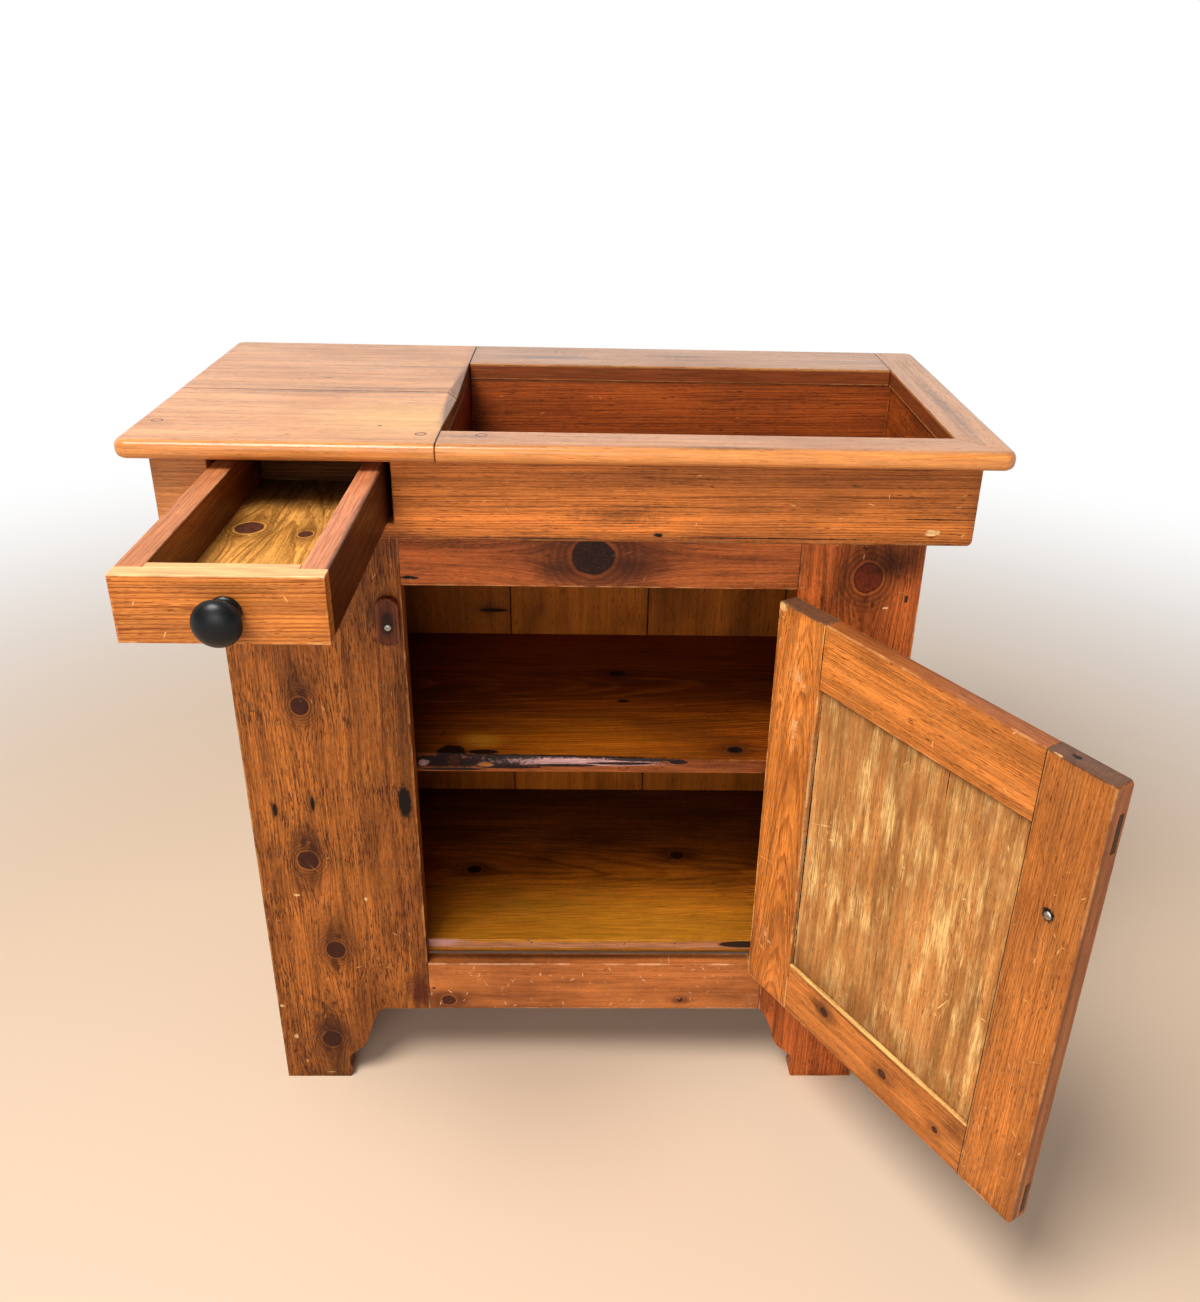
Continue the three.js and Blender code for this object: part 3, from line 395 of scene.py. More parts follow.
# Marks: colour, strength, raggedness, depth, and how far out from the middle a mark stays solid.
# A mark that is nowhere solid, below zero, breaks up into specks.
MARKS = {
    "hole": ("120907", 1.0, 0.9, 4.0, 0.6),
    "bark": ("1C0D09", 0.97, 0.35, 2.0, 0.8),
    "weathered": ("B88A84", 0.88, 0.8, 1.5, 0.5),
    "wane": ("7A4A2C", 0.7, 0.5, 0.5, 0.3),
    "chip": ("DDB078", 0.9, 1.2, 2.0, 0.6),
    "grime": ("32170B", 0.55, 0.8, 0.0, 0.0),
    # painted shade: dark red-brown laid where shade falls, in recesses and on faces turned from the
    # lamps
    "shade": ("240A04", 0.85, 0.25, 0.0, 0.0),
    # painted shade at the back of the drawer; darker round the turn button's screw
    "painted_shade_and_dirt": ("1C0A05", 0.9, 0.2, 0.0, 0.35),
    "soot": ("12100F", 0.95, 0.15, 0.5, 0.8),
    "worn": ("B07A60", 0.75, 0.8, 0.5, 0.3),
    "crack": ("1A0B05", 1.0, 0.5, 4.0, 0.5),
    "red": ("4E1C10", 0.7, 0.6, 0.0, 0.3),
    "wall": ("6E3014", 0.9, 0.1, 0.0, 0.8),
    "end_grain": ("503A30", 0.85, 0.6, 0.5, 0.75),
    "lit": ("E8BC70", 0.8, 0.8, 0.0, 0.3),
    "pale": ("F4BE86", 0.62, 0.25, 0.0, 0.5),
    "pink": ("D8906C", 0.32, 0.3, 0.0, 0.5),
    "glint": ("7A4A3A", 0.75, 2.6, 1.5, -0.4),
    "squiggle": ("1C0D09", 0.9, 3.2, 1.5, -0.75),
    # painted light: a lighter patch on the apron front's left end
    "painted_light_blush": ("C88C5C", 0.35, 0.6, 0.0, 0.2),
    "scuffed": ("E8B078", 0.7, 2.4, 0.5, -0.25),
    "pit": ("120806", 1.0, 0.3, 3.0, 0.65),
    # painted shade: deep red at the back of the shelf
    "painted_shade_red": ("6A1E06", 0.84, 0.25, 0.0, 0.0),
    # painted shade: darker along the front nose of the top
    "nose": ("BC6C2A", 0.5, 0.2, 0.0, 0.5),
    "honey": ("EABE62", 0.32, 0.3, 0.0, 0.0),
    "amber": ("E18A3D", 0.5, 0.2, 0.0, 0.5),
    "dust": ("B89C70", 0.6, 1.6, 1.0, 0.2),
    "flecks": ("E0AE82", 0.8, 3.6, 1.0, -0.9),
    "speckle": ("2A0E04", 0.85, 3.6, 1.0, -0.7),
    # painted light: a warm glow on the front of the shelf
    "glow": ("A8640E", 0.25, 0.25, 0.0, 0.0),
    # painted shade: darker inner face of the drawer's left side
    "inner": ("3E180A", 0.7, 0.2, 0.0, 0.0),
    "dim": ("5A2E14", 0.35, 0.4, 0.0, 0.0),
    "rosy": ("8A4A2C", 0.5, 0.7, 0.0, 0.3),
    # painted light: golden where light falls on the front of the cupboard floor and the shelf
    "painted_light_gold": ("D08C22", 0.62, 0.25, 0.0, 0.0),
    "dull": ("7A4E28", 0.6, 0.5, 0.0, 0.0),
    "line": ("34160A", 0.95, 0.1, 1.0, 0.9),
    "plug": ("C87C40", 0.8, 0.1, 0.0, 0.85),
}

DOOR_HINGE = next(joint for joint in frame["joints"] if joint["name"] == "door_hinge")
REST = (Matrix.Identity(3), Vector((0.0, 0.0, 0.0)))
OPEN_DOOR = (Matrix.Rotation(-math.radians(DOOR_HINGE["range_deg"][0]), 3, "Z"),
             Vector((DOOR_HINGE["pos_m"][0], DOOR_HINGE["pos_m"][1], 0.0)))


class Board:
    """A node's own directions: along the grain, across it and through the thickness.

    lay says how the node is turned and where its own zero is. Places on the door are given as if
    it were shut, with zero on the hinge axis."""

    def __init__(self, node, grain, lay=REST):
        self.turn, self.zero = lay
        points = [self.turn.transposed() @ (v.co - self.zero)
                  for v in frame["nodes"][node].data.vertices]
        self.low = Vector([min(p[i] for p in points) for i in range(3)])
        self.high = Vector([max(p[i] for p in points) for i in range(3)])
        self.middle = (self.low + self.high) / 2
        size = self.high - self.low
        along = "xyz".index(grain)
        others = [i for i in range(3) if i != along]
        through = min(others, key=lambda i: size[i])
        across = next(i for i in others if i != through)
        self.order = (along, across, through)
        axes = [Vector([float(i == axis) for i in range(3)]) for axis in self.order]
        if axes[0].cross(axes[1]).dot(axes[2]) < 0:
            axes[2] = -axes[2]
        self.axes = Matrix(axes)
        self.half = Vector([size[i] / 2 for i in self.order])
        self.centre = self.turn @ self.middle + self.zero
        self.rotation = (self.turn @ self.axes.transposed()).to_euler("XYZ")

    def spot(self, place):
        return self.axes @ (Vector(place) - self.middle)

    def reach(self, size):
        return Vector([size[i] for i in self.order])

    def joined(self, faces):
        """Which faces meet a neighbour, as in "+x -y": a 0 or 1 for each low and high face."""
        low, high = [0.0] * 3, [0.0] * 3
        for face in faces.split():
            normal = Vector([float(face[1] == axis) for axis in "xyz"])
            local = self.axes @ (normal if face[0] == "+" else -normal)
            axis = max(range(3), key=lambda i: abs(local[i]))
            (high if local[axis] > 0 else low)[axis] = 1.0
        return low, high


def new_material(name):
    """A new material, its wiring and its Principled shader."""
    material = bpy.data.materials.new(name)
    material.use_nodes = True
    return material, Wiring(material.node_tree), material.node_tree.nodes["Principled BSDF"]


def raise_grain(w, shader, height, strength, distance):
    """Lets a height show in the shader's normal."""
    bump = w.add("ShaderNodeBump")
    bump.inputs["Strength"].default_value = strength
    bump.inputs["Distance"].default_value = distance
    w.feed(bump.inputs["Height"], height)
    w.feed(shader.inputs["Normal"], bump.outputs[0])


def pine(board, name, finish, pith, spacing, wander, knots=(), marks=(), tone=1.0, joined="",
         seam=0.0014, **changes):
    """A board's own pine: its finish, its place in the log, its knots, marks and seams."""
    kind = {**PINES[finish], **changes}
    material, w, shader = new_material(name)
    number = sum(ord(letter) * (i + 1) for i, letter in enumerate(name)) % 997
    seed = (number * 0.173, number * 0.091, number * 0.057)
    mapping = w.add("ShaderNodeMapping", vector_type="TEXTURE")
    w.feed(mapping.inputs["Vector"], w.add("ShaderNodeTexCoord").outputs["Object"])
    mapping.inputs["Location"].default_value = board.centre
    mapping.inputs["Rotation"].default_value = board.rotation
    point = mapping.outputs[0]
    flow, near, halo = point, 9.0, 0.0
    for place, radius in knots:
        passed = w.group(KNOT, Point=flow, Centre=board.spot(place), Radius=radius, Near=near,
                         Halo=halo)
        flow, near, halo = passed["Point"], passed["Near"], passed["Halo"]
    grain = w.group(GRAIN, Point=flow, Pith=pith, Spacing=spacing, Wander=wander, Seed=seed)
    low, high = board.joined(joined)
    wear = w.group(WEAR, Point=point, Half=board.half, Seed=seed, Reach=3.5 * MM,
                   Joined_Low=low, Joined_High=high, Seam_Width=seam)
    shades = {socket: (*[c * tone for c in paint(kind[key])[:3]], 1.0)
              for key, socket in COLOURS.items()}
    done = w.group(
        FINISH, Point=w.vector("ADD", point, seed), Near=near, Halo=halo,
        **{label: grain[label] for label in ("Late", "Fibre", "Streak", "Cloud", "Pore")},
        **{label: wear[label] for label in ("Edge", "Grime", "Seam")},
        **{socket: kind[key] for key, socket in AMOUNTS.items()}, **shades)
    colour, height = done["Color"], done["Height"]
    for mark, place, size in marks:
        code, strength, ragged, depth, solid = MARKS[mark]
        laid = w.group(MARK, Point=point, Centre=board.spot(place), Reach=board.reach(size),
                       Strength=strength, Ragged=ragged, Solid=solid, Base_Color=colour,
                       Mark=paint(code), Height=height, Depth=depth)
        colour, height = laid["Color"], laid["Height"]
    raise_grain(w, shader, height, 0.4, 0.6 * MM)
    w.feed(shader.inputs["Base Color"], colour)
    w.feed(shader.inputs["Roughness"], done["Roughness"])
    for socket, value in (("Coat Weight", kind["coat"]), ("Coat Roughness", 0.2),
                          ("Specular IOR Level", 0.13)):
        shader.inputs[socket].default_value = value
    return material


def ease_edges(thing, width):
    """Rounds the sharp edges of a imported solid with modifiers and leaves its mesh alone."""
    for name, kind, settings in (
            ("weld", "WELD", {"merge_threshold": 0.02 * MM}),
            ("flatten", "DECIMATE", {"decimate_type": "DISSOLVE",
                                     "angle_limit": math.radians(0.5)}),
            ("eased edges", "BEVEL", {"width": width, "segments": 3, "limit_method": "ANGLE",
                                      "angle_limit": math.radians(40)}),
            ("even shading", "WEIGHTED_NORMAL", {"keep_sharp": True})):
        modifier = thing.modifiers.new(name, kind)
        for setting, value in settings.items():
            setattr(modifier, setting, value)
    for polygon in thing.data.polygons:
        polygon.use_smooth = True


def dress(node, finish, grain, pith, spacing, wander, ease=1.2, lay=REST, **more):
    thing = frame["nodes"][node]
    board = Board(node, grain, lay)
    thing.data.materials.clear()
    thing.data.materials.append(pine(board, f"pine_{node}", finish, pith, spacing, wander, **more))
    ease_edges(thing, ease * MM)


TOP = 0.941
SLAB_NOSE = -0.0669
APRON_FACE = -0.0405
THROUGH = 0.1  # half depth of a mark that shows on each face it meets


def upright(kind, *places):
    """Marks of one kind on a face that looks along Y: x, z, half width and half height."""
    return [(kind, (x, 0, z), (width, THROUGH, height)) for x, z, width, height in places]


def level(kind, z, *places):
    """Marks of one kind on a face that looks up: x, y, half width and half depth."""
    return [(kind, (x, y, z), (width, depth, THROUGH)) for x, y, width, depth in places]


def plug(x, y):
    """A wooden plug in the top: its dark outline, then its own wood."""
    return [("line", (x, y, TOP), (0.0066, 0.0066, 0.004)),
            ("plug", (x, y, TOP), (0.0048, 0.0048, 0.004))]


# Every board: finish, grain, pith as (slope, across, through), ring spacing and wander
def dress_top():
    marks = [
        ("honey", (-0.2, 0.03, TOP), (0.16, 0.1, 0.1)),
        ("wane", (-0.1615, 0.09, 0.9385), (0.009, 0.12, 0.0075)),
        # painted shade darkens the top's front nose
        ("nose", (-0.3, SLAB_NOSE, 0.93), (2.0, 0.008, 0.016)),
        *level("grime", TOP, (-0.3, 0.139, 0.2, 0.008)),
        *plug(-0.4607, 0.0086), *plug(-0.1775, -0.0279),
        *level("hole", TOP, (-0.2245, 0.001, 0.0032, 0.0022),
               (-0.2885, 0.11, 0.006, 0.0011), (-0.3135, -0.035, 0.003, 0.0014))]
    dress("top_front_board", "top", "x", (0.02, 0.21, -0.03), 0.0032, 0.012, joined="+x +y",
          seam=0.0016, tone=0.98, marks=marks)
    dress("top_back_board", "top", "x", (0.03, -0.24, -0.02), 0.0036, 0.016, tone=0.9,
          joined="+x -y", seam=0.0016, marks=[
              ("wane", (-0.1615, 0.2, 0.9385), (0.009, 0.13, 0.0075)),
              *level("grime", TOP, (-0.25, 0.157, 0.2, 0.008), (-0.24, 0.27, 0.16, 0.005)),
              *level("hole", TOP, (-0.3195, 0.205, 0.008, 0.0013),
                     (-0.3535, 0.196, 0.003, 0.0014))])
    dress("rim_front", "top", "x", (0.02, 0.16, -0.05), 0.003, 0.01, tone=0.84, joined="-x",
          early="CC8C58", marks=[
              *level("grime", TOP, (0.14, -0.06, 0.09, 0.007), (-0.13, -0.034, 0.06, 0.008)),
              ("amber", (0.11, SLAB_NOSE, 0.93), (2.0, 0.007, 0.016)),
              ("wall", (0.11, -0.0149, 0.93), (2.0, 0.005, 0.009)), *plug(-0.1145, -0.0282),
              ("chip", (0.3065, -0.018, TOP), (0.012, 0.0014, 0.003)),
              ("chip", (-0.0575, -0.018, TOP), (0.009, 0.0014, 0.003))])
    dress("rim_back", "top", "x", (0.0, 0.1, -0.05), 0.0034, 0.02, tone=0.64, joined="-x +x",
          marks=[
              *level("grime", TOP, (-0.06, 0.335, 0.09, 0.02), (0.12, 0.35, 0.08, 0.012)),
              ("wall", (0.11, 0.2926, 0.93), (2.0, 0.005, 0.009)), *plug(-0.0455, 0.366)])
    dress("rim_right", "top", "y", (0.03, 0.1, -0.06), 0.003, 0.012, tone=0.79, marks=[
        ("wall", (0.3862, 0.14, 0.93), (0.005, 2.0, 0.009)),
        *level("grime", TOP, (0.41, 0.12, 0.012, 0.2))])


def dress_upper_box():
    dress("apron_front", "case", "x", (0.01, 0.2, 0.02), 0.0034, 0.01, ease=2.0, early="BC6B2E",
          late="7C3C12", pores=0.25, contrast=0.85, figure=0.75, staining=0.3, marks=[
              (kind, (x, APRON_FACE, z), (width, depth, height))
              for kind, x, z, width, depth, height in (
                  # painted light makes the apron's left end lighter
                  ("painted_light_blush", -0.45, 0.88, 0.09, 0.01, 0.2),
                  ("hole", 0.0728, 0.837, 0.006, 0.01, 0.003),
                  ("chip", 0.3696, 0.8435, 0.01, 0.01, 0.004),
                  ("crack", 0.3725, 0.8585, 0.06, 0.01, 0.0009),
                  ("crack", 0.2, 0.8345, 0.14, 0.01, 0.0009),
                  ("crack", -0.06, 0.8315, 0.09, 0.01, 0.0008),
                  ("grime", 0.03, 0.857, 0.07, 0.01, 0.014),
                  ("grime", 0.1, 0.8275, 0.7, 0.02, 0.008))])
    dress("apron_left", "case", "y", (0.01, 0.2, 0.02), 0.0036, 0.01)
    dress("apron_right", "case", "y", (0.01, -0.2, 0.02), 0.0036, 0.01, early="A8521C")
    dress("box_back", "inside", "x", (0.01, 0.2, 0.02), 0.0036, 0.01)
    for node in ("drawer_runway", "well_floor_front", "well_floor_middle", "well_floor_back",
                 "drawer_stop"):
        dress(node, "well", "x", (0.02, 0.05, -0.06), 0.004, 0.02)
    for side in ("left", "right"):
        for part in ("guide", "kicker"):
            dress(f"drawer_{part}_{side}", "well", "y", (0.02, 0.05, -0.06), 0.004, 0.02)
    dress("well_divider", "well", "y", (0.02, 0.09, -0.03), 0.004, 0.015, early="7C2004",
          tone=0.7)
    dress("well_back_wall", "well", "x", (0.02, 0.11, -0.03), 0.0034, 0.015, early="92461A",
          contrast=0.75, marks=[
              ("grime", (-0.11, 0.2946, 0.876), (0.012, 0.01, 0.006)),
              ("grime", (0.16, 0.2946, 0.895), (0.03, 0.01, 0.004))])


def dress_cupboard():
    stile_knots = [((-0.3435, 0, 0.6005), 0.0102), ((-0.3337, 0, 0.2295), 0.0116),
                   ((-0.3549, 0, 0.3754), 0.0118), ((-0.3523, 0, 0.0707), 0.0118)]
    marks = [
        *upright("grime", *((x, z + 0.03, 0.034, 0.06) for (x, _, z), _ in stile_knots),
                 (-0.2443, 0.721, 0.016, 0.03), (-0.3415, 0.4615, 0.012, 0.026),
                 (-0.3889, 0.4525, 0.009, 0.024)),
        *upright("pit", (-0.3415, 0.4615, 0.003, 0.012), (-0.3889, 0.4525, 0.0028, 0.012)),
        *upright("grime", (-0.2275, 0.4673, 0.018, 0.05)),
        *upright("pit", (-0.2275, 0.4658, 0.0098, 0.028)),
        *upright("red", (-0.2262, 0.16, 0.022, 0.042), (-0.2262, 0.155, 0.018, 0.034)),
        *upright("crack", (-0.4, 0.5934, 0.006, 0.0009)),
        *upright("chip", (-0.3756, 0.3204, 0.0045, 0.0022), (-0.2874, 0.3143, 0.0035, 0.0035),
                 (-0.414, 0.1314, 0.004, 0.0025), (-0.402, 0.0758, 0.0035, 0.005),
                 (-0.3914, 0.0295, 0.0022, 0.004), (-0.3591, 0.0082, 0.007, 0.0015),
                 (-0.3284, 0.0229, 0.0018, 0.006)),
        *upright("grime", (-0.3275, 0.0, 0.14, 0.14))]
    dress("stile_left", "case", "z", (0.0, 0.05, -0.09), 0.0036, 0.022, ease=1.6, tone=0.88,
          pores=1.0, contrast=0.6, knots=stile_knots, marks=marks)
    dress("stile_right", "case", "z", (0.0, -0.06, -0.08), 0.0036, 0.022, ease=1.6, pores=0.45,
          early="BE602A", knot="6E2A14", knots=[((0.3146, 0, 0.7739), 0.0155)], marks=[
              *upright("grime", (0.345, 0.796, 0.05, 0.036), (0.342, 0.79, 0.032, 0.022),
                       (0.275, 0.745, 0.024, 0.05)),
              *upright("chip", (0.3386, 0.7368, 0.004, 0.0016))])
    dress("side_left", "case", "z", (0.01, 0.03, -0.1), 0.005, 0.04)
    dress("side_right", "case", "z", (0.01, -0.05, -0.1), 0.005, 0.04)
    dress("top_rail", "case", "x", (0.0, 0.12, -0.04), 0.004, 0.012, early="B45E2A",
          late="7C381A", joined="-x +x +z", knot="1E0F0B", contrast=0.5, pores=0.25,
          knots=[((0.0026, 0, 0.7953), 0.0205)], marks=[
              *upright("grime", (-0.1, 0.822, 0.17, 0.022), (-0.1, 0.826, 0.13, 0.012),
                       (-0.045, 0.779, 0.035, 0.022), (0.045, 0.783, 0.034, 0.022)),
              *upright("hole", (-0.203, 0.768, 0.011, 0.0026))])
    dress("bottom_rail", "case", "x", (0.0, 0.14, -0.03), 0.004, 0.012, early="C07038",
          late="A05A2A", joined="-x +x", scuffs=0.75, rubbed="E8B48A", contrast=0.3, pores=0.12,
          figure=0.6, knots=[((-0.1883, 0, 0.1419), 0.008), ((0.1275, 0, 0.1425), 0.0038)],
          marks=[
              # painted shade on the rail's top, in the gap under the floor's front edge
              ("shade", (0.0112, 0.013, 0.206), (0.6, 0.0105, 0.004)),
              *upright("flecks", (-0.14, 0.17, 0.12, 0.04)),
              *upright("hole", (-0.2076, 0.1634, 0.003, 0.002))])
    dress_shelf()
    face, edge = 0.229, 0.018
    marks = [
        # painted light on the front of the floor, painted shade towards its back
        *level("painted_light_gold", face, (-0.03, 0.03, 0.5, 0.16)),
        *level("shade", face, (0.0, 0.4, 1.2, 0.34)),
        ("worn", (0.0, edge, 0.2195), (0.9, 0.005, 0.0085)),
        # painted shade on the lower half of the floor's front edge, above the bottom rail
        ("shade", (0.0, edge, 0.2075), (0.9, 0.008, 0.008)),
        ("speckle", (0.0, edge, 0.222), (0.3, 0.005, 0.012)),
        ("weathered", (-0.21, edge, 0.224), (0.06, 0.005, 0.008)),
        *level("pit", face, (-0.1676, 0.172, 0.012, 0.008)),
        ("soot", (0.2125, edge, 0.2215), (0.041, 0.005, 0.0065))]
    dress("cupboard_floor", "inside", "x", (0.05, -0.03, -0.07), 0.0036, 0.03,
          knots=[((-0.1676, 0.172, face), 0.009), ((0.1317, 0.2083, face), 0.009)], marks=marks)
    for board in ("shelf", "floor"):
        for side in ("left", "right"):
            dress(f"{board}_cleat_{side}", "inside", "y", (0.02, 0.08, -0.04), 0.004, 0.01,
                  ease=0.8)
    for i in range(1, 6):
        dress(f"back_board_{i}", "inside", "z", (0.01, 0.03 * (i - 3), -0.06), 0.005, 0.03,
              ease=0.8, joined="-x +x", seam=0.0025, tone=0.95 + 0.13 * (i % 2), contrast=0.35,
              figure=0.45, early="AA5A16", late="8C4410", marks=[
                  ("bark", (-0.1465, 0.385, 0.549), (0.024, 0.1, 0.0035)),
                  ("grime", (-0.155, 0.385, 0.551), (0.045, 0.1, 0.016))])


def dress_shelf():
    """The shelf, with the dark bark, the knot and the pale wood of its waney front edge."""
    face = 0.51
    marks = [
        # painted light on the shelf's front, painted shade towards its back
        *level("glow", face, (-0.03, 0.05, 0.3, 0.14)),
        *level("painted_shade_red", face, (0.0, 0.42, 1.2, 0.3)),
        *level("speckle", face, (0.158, 0.073, 0.022, 0.018)),
        ("rosy", (0.0, 0.026, 0.497), (0.9, 0.006, 0.024)),
        # painted light on the shelf behind its knot
        *level("painted_light_gold", face, (-0.14, 0.072, 0.042, 0.026)),
        *level("speckle", face, (-0.19, 0.088, 0.03, 0.022)),
        ("bark", (-0.213, 0.029, 0.5105), (0.345, 0.0115, 0.0145)),
        ("weathered", (-0.003, 0.033, 0.5045), (0.128, 0.016, 0.0055)),
        *(("bark", (x, 0.026, 0.5023 + 0.046 * x), (0.05, 0.006, 0.0024))
          for x in (-0.17, -0.1, -0.03, 0.04)),
        ("bark", (0.05, 0.0275, 0.5095), (0.078, 0.004, 0.0022)),
        ("bark", (0.112, 0.0262, 0.5065), (0.015, 0.004, 0.0042)),
        ("amber", (-0.13, 0.029, 0.5005), (0.013, 0.008, 0.003)),
        ("weathered", (-0.208, 0.03, 0.501), (0.009, 0.012, 0.004)),
        ("bark", (-0.1735, 0.042, 0.507), (0.0215, 0.021, 0.013)),
        ("red", (-0.17, 0.034, 0.503), (0.012, 0.016, 0.008)),
        ("bark", (-0.134, 0.044, face), (0.021, 0.006, 0.006)),
        ("speckle", (0.12, 0.026, 0.497), (0.22, 0.006, 0.02)),
        ("speckle", (-0.03, 0.03, 0.503), (0.16, 0.012, 0.008)),
        *level("pit", face, (0.0381, 0.2587, 0.015, 0.009), (0.045, 0.178, 0.009, 0.005)),
        *level("grime", face, (0.1857, 0.0531, 0.03, 0.022)),
        *level("pit", face, (0.1857, 0.0531, 0.0105, 0.008)),
        ("glint", (-0.185, 0.03, 0.503), (0.03, 0.012, 0.006)),
        ("glint", (-0.15, 0.036, 0.507), (0.03, 0.01, 0.004)),
        ("squiggle", (-0.07, 0.034, 0.5035), (0.11, 0.016, 0.0045))]
    dress("shelf", "inside", "x", (0.05, 0.02, -0.07), 0.0045, 0.03, early="723004",
          late="A8580E", marks=marks,
          knots=[((0.0381, 0.2587, face), 0.009), ((0.1857, 0.0531, face), 0.009)])


def dress_door():
    """The door, with places given as on the shut door and zero on the hinge axis."""
    inner, head, panel_foot, stile_side = 0.026, 0.7545, 0.2815, -0.0785
    screw = Board("door_knob_screw", "y", OPEN_DOOR).middle
    marks = [
        ("dust", (stile_side, 0.02, 0.477), (0.0015, 0.02, 0.24)),
        ("speckle", (stile_side, 0.02, 0.5), (0.0012, 0.02, 0.3)),
        ("pit", (-0.0787, 0.02, 0.45), (0.0005, 0.02, 0.2)),
        ("chip", (-0.008, inner, 0.748), (0.007, 0.012, 0.006)),
        ("flecks", (-0.02, inner, 0.725), (0.02, 0.003, 0.03)),
        ("scuffed", (-0.042, inner, 0.672), (0.02, 0.004, 0.026)),
        ("scuffed", (-0.044, inner, 0.61), (0.009, 0.004, 0.036)),
        ("scuffed", (-0.03, inner, 0.29), (0.02, 0.004, 0.03)),
        ("dust", (-0.0765, inner, 0.56), (0.002, 0.004, 0.13)),
        ("crack", (stile_side, inner, 0.713), (0.0016, 0.006, 0.06)),
        ("end_grain", (-0.04, 0.015, head), (0.06, 0.03, 0.003))]
    dress("door_hinge_stile", "door", "z", (0.09, -0.012, -0.016), 0.0032, 0.02, ease=2.4,
          lay=OPEN_DOOR, contrast=0.85, tone=1.06, marks=marks)
    marks = [
        ("end_grain", (-0.41, 0.015, head), (0.07, 0.03, 0.003)),
        ("hole", (-0.396, 0.015, head), (0.006, 0.004, 0.003)),
        ("chip", (-0.385, inner, head), (0.006, 0.002, 0.002)),
        ("hole", (screw.x, inner, screw.z), (0.0075, 0.004, 0.0085)),
        ("rosy", (-0.447, 0.013, 0.48), (0.004, 0.03, 1.2)),
        ("crack", (-0.447, inner - 0.004, 0.4), (0.003, 0.0006, 0.33)),
        ("dim", (-0.41, inner, 0.72), (0.1, 0.01, 0.1)),
        ("flecks", (-0.4, inner, 0.34), (0.022, 0.004, 0.04))]
    dress("door_lock_stile", "door", "z", (0.03, -0.09, -0.02), 0.003, 0.03, ease=2.4,
          lay=OPEN_DOOR, tone=0.85, joined="+x", scuffs=0.3, marks=marks)
    dress("door_top_rail", "door", "x", (0.01, 0.1, -0.03), 0.0026, 0.014, ease=2.0,
          lay=OPEN_DOOR, joined="-x +x -z", marks=[
              ("rosy", (-0.22, 0.015, head), (0.8, 0.03, 0.004)),
              ("dim", (-0.22, 0.004, head), (0.8, 0.03, 0.004))])
    dress("door_bottom_rail", "door", "x", (0.01, 0.05, -0.05), 0.0028, 0.016, ease=2.0,
          lay=OPEN_DOOR, joined="-x +x", tone=0.9,
          knots=[((-0.147, 0, 0.258), 0.006), ((-0.249, 0, 0.247), 0.006),
                 ((-0.334, 0, 0.239), 0.004)],
          marks=[
              *upright("grime", (-0.362, 0.262, 0.03, 0.03), (-0.14, 0.262, 0.04, 0.03)),
              ("lit", (-0.22, inner, panel_foot), (0.3, 0.01, 0.003)),
              ("crack", (-0.2, inner, panel_foot - 0.005), (0.14, 0.01, 0.0008))])
    dress("door_panel", "panel", "z", (0.0, 0.08, -0.09), 0.004, 0.012, ease=0.4,
          lay=OPEN_DOOR, marks=[
              *upright("dull", (-0.22, 0.74, 0.4, 0.16), (-0.22, 0.28, 0.4, 0.06)),
              *upright("crack", (-0.268, 0.66, 0.0008, 0.03)),
              *upright("dust", (-0.082, 0.45, 0.0022, 0.3)),
              *upright("hole", (-0.0793, 0.46, 0.0013, 0.26))])


def dress_drawer():
    front = Board("drawer_front", "x")
    pith = (0.01, 0.1, 0.03)
    dress("drawer_front", "drawer", "x", (0.01, 0.14, 0.0), 0.004, 0.008, ease=1.5, marks=[
        ("pale", (front.middle.x, front.middle.y, front.high.z), (0.3, 0.05, 0.0022))])
    left, right = Board("drawer_side_left", "y"), Board("drawer_side_right", "y")

    def top_edge(side, length):
        return ("pink", (side.middle.x, -0.26, side.high.z), (0.05, length, 0.002))

    # painted shade at the drawer's back end, under the top
    def back_end(side):
        return ("painted_shade_and_dirt", (side.middle.x, 0.07, 0.915), (0.1, 0.1, 0.06))

    dress("drawer_side_left", "drawer", "y", pith, 0.0036, 0.01, tone=0.76, marks=[
        # painted shade on the inner face
        ("inner", (left.high.x, left.middle.y, left.middle.z), (0.008, 1.0, 0.05)),
        top_edge(left, 0.3), back_end(left)])
    dress("drawer_side_right", "drawer", "y", pith, 0.0036, 0.01, tone=0.76, early="B86226",
          late="78340C", marks=[
              top_edge(right, 0.3), top_edge(right, 0.25), back_end(right),
              # painted shade on the outer face, turned away from the lamps
              ("shade", (right.high.x, right.middle.y, right.middle.z), (0.006, 1.0, 1.0))])
    # tone 0.16 paints the drawer back in shade, where it sits under the top
    dress("drawer_back", "drawer", "x", pith, 0.0036, 0.01, tone=0.16, coat=0.0, rough=0.9)
    dress("drawer_bottom", "drawer_inside", "y", (0.06, 0.0, -0.05), 0.0042, 0.03,
          knots=[((-0.3445, -0.1, 0.86), 0.0135), ((-0.288, -0.1154, 0.86), 0.0072)],
          # painted shade towards the back of the drawer bottom
          marks=[("painted_shade_and_dirt", (-0.3, 0.1, 0.866), (0.3, 0.19, 0.1))])
    dress("turn_button", "dark", "z", (0.0, 0.03, -0.03), 0.003, 0.005,
          # darker round the screw
          marks=[("painted_shade_and_dirt", (-0.2303, -0.016, 0.716), (0.011, 0.1, 0.024))])


dress_top()
dress_upper_box()
dress_cupboard()
dress_door()
dress_drawer()


